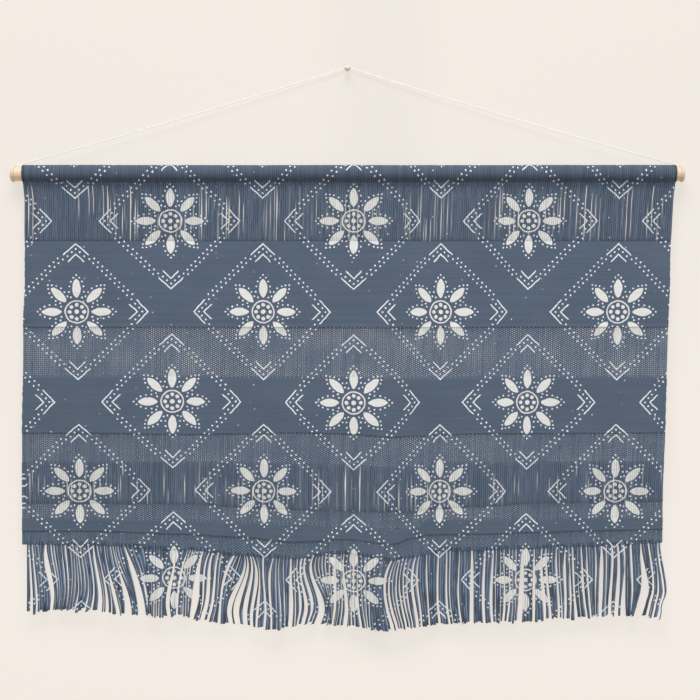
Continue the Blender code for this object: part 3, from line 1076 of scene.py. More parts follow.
@dataclass(frozen=True)
class ClothFinish:
    """A printed cotton finish on yarns or on close weave."""

    name: str
    surface: Surface
    shade: float = 1.0
    spread: float = 0.2
    turns: float = 2.2
    # streak, lean and dots: how strong the painted light streaks along a yarn's side and the
    # painted light dots at its edges are, and which side takes the streaks
    streak: float = 0.0
    lean: float = 0.0
    dots: float = 0.0
    relief: float = 0.00022
    pick: float = 0.62
    rib: float = 0.1
    roughness: float = 0.92
    sheen: float = 0.04
    dye: ClothDye = ClothDye()
    # edge and its reach in picks: near a band's border the tone is scaled by edge, below 1 for a
    # painted shadow line, above 1 for painted light
    edge: float = 1.0
    painted_border_reach: float = 2.4
    paste: float = 1.0

    def build(self, groups: Groups) -> bpy.types.Material:
        """Builds the material.

        Args:
            groups: The shared node groups.

        Returns:
            The finished material.
        """
        g, shader = new_finish(self.name)
        ink = g.use(groups.lattice, Plan=g.attribute("print_plan"))
        if self.surface is Surface.YARN:
            weave = g.use(
                groups.yarn,
                Round=g.attribute("yarn_round"),
                Number=g.attribute("yarn_number", "Fac"),
                Phase=g.attribute("pick_phase", "Fac"),
                Turns=self.turns,
                Spread=self.spread,
                Streak=self.streak,
                Lean=self.lean,
                Dots=self.dots,
            )
        else:
            weave = g.use(
                groups.picks,
                Weft=g.attribute("weft_place"),
                Pitch=self.pick,
                Rib=self.rib,
                Spread=self.spread,
            )
        # Painted light and shade along band borders, scaled by edge within the reach.
        top = g.ramp(g.attribute("pick_phase", "Fac"), 0.0, self.painted_border_reach, self.edge, 1.0)
        colour = g.use(
            groups.dye,
            Ground=tuple(c * self.shade for c in self.dye.ground),
            Reverse=self.dye.reverse,
            Paste=tuple(c * self.paste for c in self.dye.paste),
            Ink=ink("Ink"),
            Fine=ink("Fine"),
            Specks=ink("Specks"),
            Face=g.attribute("printed_face", "Fac"),
            Tone=weave("Tone") * top,
            Place=g.place(),
        )
        looks = {
            "Base Color": colour("Colour"),
            "Normal": g.bump(weave("Height"), self.relief),
            "Roughness": self.roughness,
            "Sheen Weight": self.sheen,
            "Sheen Roughness": 0.6,
            "Specular IOR Level": 0.1,
        }
        g.feed_all(shader, looks)
        return bpy.data.materials[self.name]


@dataclass(frozen=True)
class StringFinish:
    """Off-white cotton string, its plies in the mesh and fibres in the bump."""

    name: str = "off-white string"
    light: Colour = (0.97, 0.95, 0.93)
    dark: Colour = (0.84, 0.82, 0.80)
    wood: Colour = (0.62, 0.47, 0.32)
    rubbed: float = 0.5
    wound_from: float = 0.3025
    wound_to: float = 0.3045

    def build(self) -> bpy.types.Material:
        """Builds the material.

        Returns:
            The finished material.
        """
        g, shader = new_finish(self.name)
        cx, cy, along = g.parts(g.attribute("yarn_round"))
        fibre = g.noise(g.vector(cx, cy, along * 0.8), 3.0, 3.0)
        slow = g.noise(g.vector(along * 0.02, 0.0, 0.0), 1.0, 1.0)
        share = g.ramp(fibre * 0.7 + slow * 0.3, 0.3, 0.7)
        across, _, _ = g.parts(g.place())
        end = g.math("ABSOLUTE", across)
        wound = g.ramp(end, self.wound_from, self.wound_to, 0.0, self.rubbed)
        looks = {
            "Base Color": g.mix(wound, g.mix(share, self.dark, self.light), self.wood),
            "Normal": g.bump(fibre, 0.00008),
            "Roughness": 0.9,
            "Sheen Weight": 0.2,
        }
        g.feed_all(shader, looks)
        return bpy.data.materials[self.name]


@dataclass(frozen=True)
class WoodFinish:
    """Pale smooth wood with end grain on the sawn ends."""

    name: str = "pale dowel wood"
    light: Colour = (0.78, 0.605, 0.425)
    dark: Colour = (0.65, 0.475, 0.305)
    end: Colour = (0.55, 0.38, 0.22)
    heart_y: float = -0.0052
    heart_z: float = -0.0941
    rings: float = 7200.0

    def build(self, groups: Groups) -> bpy.types.Material:
        """Builds the material.

        Args:
            groups: The shared node groups.

        Returns:
            The finished material.
        """
        g, shader = new_finish(self.name)
        place = g.place()
        wood = g.use(groups.grain, Place=place, Light=self.light, Dark=self.dark)
        _, y, z = g.parts(place)
        # Growth rings round a heart that lies off the dowel's axis
        away = g.from_spot(g.vector(y - self.heart_y, z - self.heart_z), 0.0, 0.0)
        rings = g.ramp(g.math("SINE", away * self.rings), -0.6, 0.9)
        ends = g.ramp(g.attribute("end_face", "Fac"), 0.4, 0.6)
        sawn = g.mix(rings * 0.6 + 0.2, self.light, self.end)
        height = wood("Height") * (1.0 - ends) + rings * ends
        looks = {
            "Base Color": g.mix(ends, wood("Colour"), sawn),
            "Normal": g.bump(height, 0.00009),
            "Roughness": g.ramp(wood("Height"), 0.2, 0.8, 0.42, 0.6),
            "Specular IOR Level": 0.35,
        }
        g.feed_all(shader, looks)
        return bpy.data.materials[self.name]


@dataclass(frozen=True)
class PinFinish:
    """Satin beige paint on the head, bare steel on the shank."""

    name: str = "satin pin"
    paint: Colour = (0.62, 0.53, 0.44)
    worn: Colour = (0.74, 0.66, 0.56)
    steel: Colour = (0.55, 0.55, 0.56)

    def build(self) -> bpy.types.Material:
        """Builds the material.

        Returns:
            The finished material.
        """
        g, shader = new_finish(self.name)
        place = g.place()
        _, y, _ = g.parts(place)
        cloud = g.noise(place, 900.0, 3.0)
        shank = g.ramp(y, -0.0027, -0.0024)
        paint = g.mix(g.ramp(cloud, 0.35, 0.7), self.paint, self.worn)
        looks = {
            "Base Color": g.mix(shank, paint, self.steel),
            "Metallic": shank,
            "Roughness": g.ramp(cloud, 0.3, 0.7, 0.32, 0.45),
            "Normal": g.bump(cloud, 0.00002),
            "Coat Weight": 0.15,
        }
        g.feed_all(shader, looks)
        return bpy.data.materials[self.name]


# Strands


@dataclass
class StrandRow:
    """Many like strands in one mesh: one is modelled, then copied along a row."""

    name: str
    count: int
    sides: int
    rings: int

    def draw(self) -> bpy.types.Object:
        """Models one closed strand, ring by ring, and copies it along the row.

        Returns:
            The object with every strand still at its place in the row.
        """
        clear_selection()
        bpy.ops.mesh.primitive_cylinder_add(
            vertices=self.sides,
            radius=1.0,
            depth=1.0,
            location=(0, 0, -0.5),
            end_fill_type="NOTHING",
        )
        obj = named(self.name)
        settle(obj)
        self.repeat(obj, "Rings", self.rings, (0.0, 0.0, -1.0), True)
        bpy.context.tool_settings.mesh_select_mode = (True, False, False)
        with editing("DESELECT"):
            bpy.ops.mesh.select_non_manifold()
            bpy.ops.mesh.fill_holes(sides=0)
            bpy.ops.mesh.select_all(action="SELECT")
            bpy.ops.mesh.normals_make_consistent(inside=False)
        self.pattern = points_of(obj)
        if self.count > 1:
            self.repeat(obj, "Row", self.count, (4.0, 0.0, 0.0), False)
        return obj

    @staticmethod
    def repeat(
        obj: bpy.types.Object, name: str, count: int, step: Triple, merge: bool
    ) -> None:
        """Copies an object's mesh along a line, joined end to end where merge is set.

        Args:
            obj: The mesh object.
            name: The modifier's name.
            count: How many there are in all.
            step: How far each is from the one before.
            merge: Whether ends that touch are joined.
        """
        array = obj.modifiers.new(name, "ARRAY")
        array.count = count
        array.use_relative_offset = False
        array.use_constant_offset = True
        array.constant_offset_displace = step
        array.use_merge_vertices = merge
        array.merge_threshold = 0.01
        finish_modifiers(obj)

    def ring_numbers(self) -> np.ndarray:
        """The ring of each vertex of the row, once it is drawn."""
        return np.tile(np.rint(-self.pattern[:, 2]).astype(int), self.count)

    def lay(
        self,
        centre: np.ndarray,
        width: np.ndarray,
        depth: np.ndarray,
        level: bool = False,
        roll: Optional[np.ndarray] = None,
    ) -> bpy.types.Object:
        """Draws the row, lays each strand along its line and notes its round place and number.

        Args:
            centre: Places of the rings, by strand, ring and axis.
            width: Width of each ring, by strand and ring.
            depth: Depth of each ring towards the viewer.
            level: Whether the strands run across instead of down.
            roll: Turn of each ring's section, where it has one.

        Returns:
            The strands.
        """
        obj = self.draw()
        strand = np.repeat(np.arange(self.count), len(self.pattern))
        pattern = np.tile(self.pattern, (self.count, 1))
        ring = self.ring_numbers()
        cx, cy = pattern[:, 0] / np.abs(self.pattern[:, 0]).max(), pattern[:, 1]
        shape_x, shape_y = cx, cy
        if roll is not None:
            turn = roll[strand, ring]
            shape_x = cx * np.cos(turn) - cy * np.sin(turn)
            shape_y = cx * np.sin(turn) + cy * np.cos(turn)
        points = centre[strand, ring].copy()
        points[:, 2 if level else 0] += shape_x * width[strand, ring] / 2
        points[:, 1] += shape_y * depth[strand, ring] / 2
        move_points(obj, points)
        steps = np.linalg.norm(np.diff(centre, axis=1), axis=2)
        along = np.concatenate((np.zeros((self.count, 1)), np.cumsum(steps, axis=1)), axis=1)
        note(obj, "yarn_round", np.stack((cx, cy, along[strand, ring] / MM), axis=1))
        note(obj, "yarn_number", strand.astype(float))
        return obj


def mark_print(obj: bpy.types.Object, outward: Optional[np.ndarray] = None) -> None:
    """Writes where the print falls and which way the cloth's printed side faces.

    Args:
        obj: A piece of the cloth at its place.
        outward: The printed side's direction at each vertex, or none for the viewer's side.
    """
    points = points_of(obj)
    note(obj, "print_plan", PLAN.read(points[:, 0], points[:, 2]))
    normals = normals_of(obj)
    facing = -normals[:, 1] if outward is None else np.sum(normals * outward, axis=1)
    note(obj, "printed_face", np.clip(0.5 + 0.5 * facing, 0.0, 1.0))


def dress(obj: bpy.types.Object, finish: bpy.types.Material) -> bpy.types.Object:
    """Gives a piece its finish and its body, and reports it.

    Args:
        obj: The piece.
        finish: Its material.

    Returns:
        The piece.
    """
    obj.data.materials.clear()
    obj.data.materials.append(finish)
    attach(obj, BODY)
    if obj.type == "MESH":
        triangles = sum(len(p.vertices) - 2 for p in obj.data.polygons)
        log.info("%s: %d triangles", obj.name, triangles)
    return obj


def dress_cloth(
    obj: bpy.types.Object, finish: bpy.types.Material, degrees: float = 75.0
) -> bpy.types.Object:
    """Marks the print on a piece of the cloth, smooths it and dresses it.

    Args:
        obj: The piece at its place.
        finish: Its material.
        degrees: Up to which angle it is smooth.

    Returns:
        The piece.
    """
    mark_print(obj)
    smooth(obj, degrees)
    return dress(obj, finish)


# Studio


class Lamp(NamedTuple):
    """A soft rectangular light: its place, its aim, its width and height, and its watts."""

    name: str
    at: Triple
    aim: Triple
    size: tuple[float, float]
    power: float


@dataclass
class Studio:
    """The camera, the pale wall and floor, and the soft light."""

    lens: float = 100.0
    sensor: float = 36.0
    sees_from: float = 0.05
    sees_to: float = 50.0
    camera_at: Triple = (0.0023, -1.7901, -0.2587)
    wall_colour: Colour = (0.896, 0.838, 0.776)
    wall_y: float = 0.0006
    wall_glow: float = 0.78
    floor_glow: float = 0.35
    wall_lit: float = 0.22
    floor_z: float = -1.1
    height: float = 2.6
    widening: float = 2.2
    floor_reach: float = 3.2
    corner: float = 0.35
    painted_shadow_behind: float = 0.10
    painted_shadow_below: float = 0.03
    lamps: tuple[Lamp, ...] = (
        Lamp("key_light", (-0.15, -1.15, 1.85), (0, 0, -0.25), (1.5, 0.9), 58.0),
        Lamp("fill_light", (0.6, -2.6, -0.1), (0, 0, -0.25), (2.4, 1.8), 20.0),
    )
    lamp_colour: Colour = (1.0, 0.985, 0.96)
    room_colour: Colour = (0.93, 0.95, 1.0)
    room_strength: float = 0.28

    def place_camera(self) -> None:
        """Sets the camera straight in front, as in the photograph."""
        data = bpy.data.cameras.new("camera")
        data.sensor_width = self.sensor
        data.lens = self.lens
        data.clip_start = self.sees_from
        data.clip_end = self.sees_to
        camera = bpy.data.objects.new("camera", data)
        camera.location = self.camera_at
        camera.rotation_euler = (math.radians(90), 0, 0)
        bpy.context.scene.collection.objects.link(camera)
        bpy.context.scene.camera = camera

    def paint_wall(self) -> bpy.types.Material:
        """The wall's material: partly self-lit, with painted shadow behind and under the fringe,
        and clear from behind.

        Returns:
            The material.
        """
        material = bpy.data.materials.new("studio wall")
        material.use_nodes = True
        tree = material.node_tree
        tree.nodes.clear()
        g = Graph(tree)
        glow = g.node("ShaderNodeEmission")
        glow.inputs["Color"].default_value = (*self.wall_colour, 1.0)
        across, _, height = g.parts(g.place())
        near, far = self.floor_z + 0.05, self.floor_z + 0.45
        lit = g.ramp(height, near, far, self.floor_glow, self.wall_glow)
        # Painted light and shade: the glow is a little stronger low on the wall and weaker near its
        # top, evening out the lamp light.
        lit = lit - g.ramp(height, -0.52, 0.06, -0.02, 0.035)
        # Painted shadow: darker behind the middle of the fringe, and in a small pool under its
        # longest tips
        behind = g.ramp(across, -0.16, -0.08) * g.ramp(across, 0.25, 0.285, 1.0, 0.0)
        behind = behind * g.ramp(height, -0.42, -0.39, 1.0, 0.0)
        behind = behind * g.ramp(height, -0.535, -0.455)
        pool = g.ramp(g.math("ABSOLUTE", across - 0.03), 0.015, 0.07, 1.0, 0.0)
        pool = pool * g.ramp(height, -0.555, -0.525)
        lit = lit - behind * self.painted_shadow_behind - pool * self.painted_shadow_below
        g.feed(glow.inputs["Strength"], lit)
        matt = g.node("ShaderNodeBsdfDiffuse")
        matt.inputs["Color"].default_value = (*(c * self.wall_lit for c in self.wall_colour), 1.0)
        both = g.node("ShaderNodeAddShader")
        clear = g.node("ShaderNodeBsdfTransparent")
        side = g.node("ShaderNodeNewGeometry")
        choice = g.node("ShaderNodeMixShader")
        out = g.node("ShaderNodeOutputMaterial")
        for output, socket in (
            (glow.outputs[0], both.inputs[0]),
            (matt.outputs[0], both.inputs[1]),
            (side.outputs["Backfacing"], choice.inputs[0]),
            (both.outputs[0], choice.inputs[1]),
            (clear.outputs[0], choice.inputs[2]),
            (choice.outputs[0], out.inputs["Surface"]),
        ):
            tree.links.new(output, socket)
        return material

    def build_wall(self) -> None:
        """Wall and floor in one sheet with a rounded corner."""
        clear_selection()
        bpy.ops.mesh.primitive_plane_add(
            size=self.height,
            location=(0, self.wall_y, self.floor_z + self.height / 2),
            rotation=(math.radians(90), 0, 0),
        )
        wall = named("studio_wall")
        settle(wall)
        bpy.context.tool_settings.mesh_select_mode = (False, True, False)
        for group in (wall.data.vertices, wall.data.edges, wall.data.polygons):
            group.foreach_set("select", np.zeros(len(group), dtype=bool))
        for edge in wall.data.edges:
            edge.select = all(
                wall.data.vertices[i].co.z < self.floor_z + 0.01 for i in edge.vertices
            )
        with editing():
            forward = {"value": (0, -self.floor_reach, 0)}
            bpy.ops.mesh.extrude_region_move(TRANSFORM_OT_translate=forward)
        points = points_of(wall)
        points[:, 0] *= self.widening
        move_points(wall, points)
        corner = wall.modifiers.new("Corner", "BEVEL")
        corner.width = self.corner
        corner.segments = 12
        finish_modifiers(wall)
        smooth(wall, 60)
        wall.data.materials.append(self.paint_wall())

    def add_light(self, lamp: Lamp) -> None:
        """Sets up one light.

        Args:
            lamp: The light.
        """
        data = bpy.data.lights.new(lamp.name, "AREA")
        data.shape = "RECTANGLE"
        data.size, data.size_y = lamp.size
        data.energy = lamp.power
        data.color = self.lamp_colour
        light = bpy.data.objects.new(lamp.name, data)
        light.location = lamp.at
        heading = Vector(lamp.aim) - Vector(lamp.at)
        light.rotation_euler = heading.to_track_quat("-Z", "Y").to_euler()
        bpy.context.scene.collection.objects.link(light)

    def build(self) -> None:
        """Builds the whole studio."""
        scene = bpy.context.scene
        scene.view_settings.view_transform = "Standard"
        self.build_wall()
        for lamp in self.lamps:
            self.add_light(lamp)
        world = bpy.data.worlds.new("soft room")
        world.use_nodes = True
        room = world.node_tree.nodes["Background"]
        room.inputs["Color"].default_value = (*self.room_colour, 1.0)
        room.inputs["Strength"].default_value = self.room_strength
        scene.world = world


# Dowel, pin and string


@dataclass
class Dowel:
    """The round wooden rod."""

    radius: float = 0.00625
    length: float = 0.617
    edge: float = 0.0007
    y: float = -0.0080
    z: float = -0.0976
    sides: int = 48
    cuts: int = 60
    uncut: float = 0.006
    end_rings: tuple[float, float] = (0.35, 0.3)
    unevenness: float = 0.004

    def build(self, finish: bpy.types.Material) -> bpy.types.Object:
        """Builds the rod with softened ends and a slightly uneven surface.

        Args:
            finish: Its material.

        Returns:
            The rod.
        """
        clear_selection()
        bpy.ops.mesh.primitive_cylinder_add(
            vertices=self.sides, radius=self.radius, depth=self.length, end_fill_type="NGON"
        )
        rod = named("dowel_rod")
        choose_faces(rod, lambda face: abs(face.normal.z) > 0.9)
        with editing():
            for share in self.end_rings:
                bpy.ops.mesh.inset(thickness=self.radius * share, use_individual=True)
            for k in range(1, self.cuts):
                bpy.ops.mesh.select_all(action="SELECT")
                level = (k / self.cuts - 0.5) * (self.length - self.uncut)
                bpy.ops.mesh.bisect(plane_co=(0, 0, level), plane_no=(0, 0, 1))
        rim = rod.modifiers.new("Ends", "BEVEL")
        rim.width = self.edge
        rim.segments = 3
        rim.limit_method = "ANGLE"
        rim.angle_limit = math.radians(60)
        finish_modifiers(rod)
        points = points_of(rod)
        around = np.arctan2(points[:, 1], points[:, 0])
        swell = 1.0 - self.unevenness * (1.0 + wandering(points[:, 2] * 22.0, around, 2.0))
        points[:, :2] *= swell[:, None]
        ends = (np.abs(points[:, 2]) > self.length / 2 - 0.0001).astype(float)
        note(rod, "end_face", ends)
        move_points(rod, points)
        rod.rotation_euler = (0, math.radians(90), 0)
        rod.location = (0, self.y, self.z)
        settle(rod)
        smooth(rod, 40)
        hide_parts("dowel")
        return dress(rod, finish)


@dataclass
class WallPin:
    """The round-headed pin on which the string hangs."""

    head: float = 0.00275
    head_y: float = -0.0052
    shank: float = 0.00075
    depth: float = 0.011
    flatness: float = 0.93
    cut: float = 0.86
    seat: float = 0.7
    point: float = 0.0022
    point_width: float = 0.12
    collar: float = 0.0003

    def build(self, finish: bpy.types.Material) -> bpy.types.Object:
        """Builds the head, its collar and the pointed shank as one piece.

        Args:
            finish: Its material.

        Returns:
            The pin.
        """
        clear_selection()
        bpy.ops.mesh.primitive_uv_sphere_add(segments=32, ring_count=20, radius=self.head)
        head = named("pin_head")
        with editing("SELECT"):
            bpy.ops.transform.resize(value=(1.0, 1.0, self.flatness))
            bpy.ops.mesh.bisect(
                plane_co=(0, 0, -self.head * self.cut),
                plane_no=(0, 0, -1),
                clear_outer=True,
                use_fill=True,
            )
        head.location = (0, 0, -self.head_y)
        settle(head)
        clear_selection()
        tall = self.depth - self.head_y - self.head * self.seat
        bpy.ops.mesh.primitive_cylinder_add(vertices=20, radius=self.shank, depth=tall)
        shank = named("pin_shank")
        choose_faces(shank, lambda face: face.normal.z < -0.9)
        with editing():
            bpy.ops.transform.translate(value=(0, 0, self.point))
            back = {"value": (0, 0, -self.point)}
            bpy.ops.mesh.extrude_region_move(TRANSFORM_OT_translate=back)
            bpy.ops.transform.resize(value=(self.point_width, self.point_width, 1.0))
        shank.location = (0, 0, -self.depth + tall / 2)
        settle(shank)
        clear_selection()
        bpy.ops.mesh.primitive_torus_add(
            major_radius=self.shank * 1.25,
            minor_radius=self.collar,
            major_segments=24,
            minor_segments=8,
            location=(0, 0, -self.head_y - self.head * self.cut),
        )
        collar = named("pin_collar")
        settle(collar)
        pin = join("wall_pin_finished", [head, shank, collar])
        pin.rotation_euler = (math.radians(90), 0, 0)
        settle(pin)
        smooth(pin, 40)
        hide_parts("wall_pin")
        return dress(pin, finish)


class Loop(NamedTuple):
    """A loop of a knot: its tilt and turn in degrees, its place across and its height."""

    tilt: float
    turn: float
    x: float
    z: float


@dataclass
class HangingString:
    """The string from one bare dowel end over the pin to the other, with its knots."""

    radius: float = 0.0004
    wrap_x: float = 0.3070
    wrap_pitch: float = 0.00115
    wrap_turns: float = 1.55
    wrap_clearance: float = 0.0004
    pin_y: float = -0.0012
    pin_shank: float = 0.00075
    clearance: float = 0.0003
    sag: float = 0.0016
    lift: Triple = (0.0012, 0.0012, 0.0004)
    foot: Triple = (0.0034, 0.0015, 0.0016)
    run: tuple[float, ...] = (0.02, 0.2, 0.5, 0.8, 0.97, 0.992)
    length: float = 0.776
    ply_turn: float = 0.0021
    sides: int = 8
    step: float = 0.0005
    loops: tuple[Loop, ...] = (
        Loop(20, 25, 0.0, 0.0),
        Loop(75, -30, 0.0004, 0.0001),
        Loop(50, 80, -0.0004, 0.0002),
    )
    loop_radius: float = 1.35
    loop_thickness: float = 0.82
    looseness: float = 0.08

    def wrap(self, side: int, dowel: Dowel) -> list[Vector]:
        """The turns round one bare end.

        Args:
            side: -1 for the left end, 1 for the right.
            dowel: What it is wound on.

        Returns:
            Points from the hidden end inwards.
        """
        radius = dowel.radius + self.wrap_clearance + self.radius
        steps = round(self.wrap_turns * 8)
        points = []
        for k in range(steps + 1):
            turns = self.wrap_turns * (1 - k / steps)
            x = self.wrap_x - self.wrap_pitch * (self.wrap_turns - turns)
            y = dowel.y - radius * math.sin(math.tau * turns)
            z = dowel.z + radius * math.cos(math.tau * turns)
            points.append(Vector((side * x, y, z)))
        return points

    def route(self, dowel: Dowel) -> list[Vector]:
        """The whole route's own points, from the left end to the right.

        Args:
            dowel: What it is tied to.

        Returns:
            The points.
        """
        apex = Vector((0, self.pin_y, self.pin_shank + self.clearance + self.radius))
        halves = []
        for side in (-1, 1):
            wrap = self.wrap(side, dowel)
            lift = wrap[-1] + Vector((-side * self.lift[0], *self.lift[1:]))
            foot = wrap[-1] + Vector((-side * self.foot[0], *self.foot[1:]))
            run = []
            for share in self.run:
                point = foot.lerp(apex, share)
                point.z -= self.sag * 4 * share * (1 - share)
                run.append(point)
            halves.append(wrap + [lift, foot] + run)
        left, right = halves
        return left + [apex] + right[::-1]

    @staticmethod
    def smoothed(points: Sequence[Vector], samples: int) -> np.ndarray:
        """Points of a centripetal Catmull-Rom curve.

        Args:
            points: The route's points.
            samples: Points for each stretch between two of them.

        Returns:
            The curve's points as rows.
        """
        ends = [2 * points[0] - points[1], *points, 2 * points[-1] - points[-2]]
        result = []
        for p0, p1, p2, p3 in zip(ends, ends[1:], ends[2:], ends[3:]):
            t1 = (p1 - p0).length ** 0.5
            t2 = t1 + (p2 - p1).length ** 0.5
            t3 = t2 + (p3 - p2).length ** 0.5
            for k in range(samples):
                t = t1 + (t2 - t1) * k / samples
                a1 = p0.lerp(p1, t / t1)
                a2 = p1.lerp(p2, (t - t1) / (t2 - t1))
                a3 = p2.lerp(p3, (t - t2) / (t3 - t2))
                b1, b2 = a1.lerp(a2, t / t2), a2.lerp(a3, (t - t1) / (t3 - t1))
                result.append(b1.lerp(b2, (t - t1) / (t2 - t1)))
        result.append(points[-1])
        return np.array([tuple(p) for p in result])

    def evenly(self, curve: np.ndarray) -> np.ndarray:
        """The same line with its points an even step apart.

        Args:
            curve: Points of the line as rows.

        Returns:
            The even points as rows.
        """
        steps = np.linalg.norm(np.diff(curve, axis=0), axis=1)
        reach = np.concatenate(([0.0], np.cumsum(steps)))
        count = int(reach[-1] / self.step)
        places = np.linspace(0.0, reach[-1], count + 1)
        return np.stack([np.interp(places, reach, curve[:, k]) for k in range(3)], axis=1)

    def build(self, dowel: Dowel, finish: bpy.types.Material) -> bpy.types.Object:
        """Builds the two-ply string along its route, with a knot at each end.

        Args:
            dowel: What it is tied to.
            finish: Its material.

        Returns:
            The string.
        """
        line = self.evenly(self.smoothed(self.route(dowel), 24))
        count = len(line) - 1
        obj = StrandRow("two_ply_string", 1, self.sides, count).draw()
        along = np.arange(count + 1) * self.step
        ahead = np.gradient(line, axis=0)
        ahead /= np.linalg.norm(ahead, axis=1)[:, None]
        side = np.zeros_like(line)
        side[0] = np.cross(ahead[0], (0.0, 0.0, 1.0))
        side[0] /= np.linalg.norm(side[0])
        for k in range(1, len(line)):
            carried = side[k - 1] - ahead[k] * np.dot(side[k - 1], ahead[k])
            side[k] = carried / np.linalg.norm(carried)
        up = np.cross(ahead, side)
        pattern = points_of(obj)
        ring = np.rint(-pattern[:, 2]).astype(int)
        angle = np.arctan2(pattern[:, 1], pattern[:, 0])
        ply = angle - along[ring] / self.ply_turn * math.tau
        reach = self.radius * (0.93 + 0.12 * np.abs(np.cos(ply)))
        points = (
            line[ring]
            + side[ring] * (np.cos(angle) * reach)[:, None]
            + up[ring] * (np.sin(angle) * reach)[:, None]
        )
        move_points(obj, points)
        around = np.stack((np.cos(angle), np.sin(angle), along[ring] / MM), axis=1)
        note(obj, "yarn_round", around)
        smooth(obj, 80)
        knots = [self.build_knot(end, dowel, finish) for end in (-1, 1)]
        dress(obj, finish)
        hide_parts("hanging_string")
        return obj

    def build_knot(
        self, side: int, dowel: Dowel, finish: bpy.types.Material
    ) -> bpy.types.Object:
        """A small tight knot where the string leaves its turns.

        Args:
            side: -1 for the left end, 1 for the right.
            dowel: What the string is tied to.
            finish: Its material.

        Returns:
            The knot.
        """
        x = side * (self.wrap_x - self.wrap_pitch * self.wrap_turns + 0.0003)
        z = dowel.z + dowel.radius + self.wrap_clearance + 2.4 * self.radius
        loops = []
        for k, row in enumerate(self.loops):
            clear_selection()
            turn = (row.tilt, 12, side * row.turn)
            bpy.ops.mesh.primitive_torus_add(
                major_radius=self.radius * self.loop_radius,
                minor_radius=self.radius * self.loop_thickness,
                major_segments=20,
                minor_segments=10,
                location=(x + side * row.x, dowel.y + 0.0002, z + row.z),
                rotation=tuple(math.radians(degrees) for degrees in turn),
            )
            loop = named(f"knot_loop_{k}")
            settle(loop)
            loops.append(loop)
        knot = join("knot_left" if side < 0 else "knot_right", loops)
        points = points_of(knot)
        middle = points.mean(axis=0)
        spots = (points - middle) / self.radius
        note(knot, "yarn_round", spots)
        swell = 1.0 + self.looseness * wandering(spots[:, 0], spots[:, 2], 1.0)
        move_points(knot, middle + (points - middle) * swell[:, None])
        smooth(knot, 80)
        return dress(knot, finish)


# The cloth


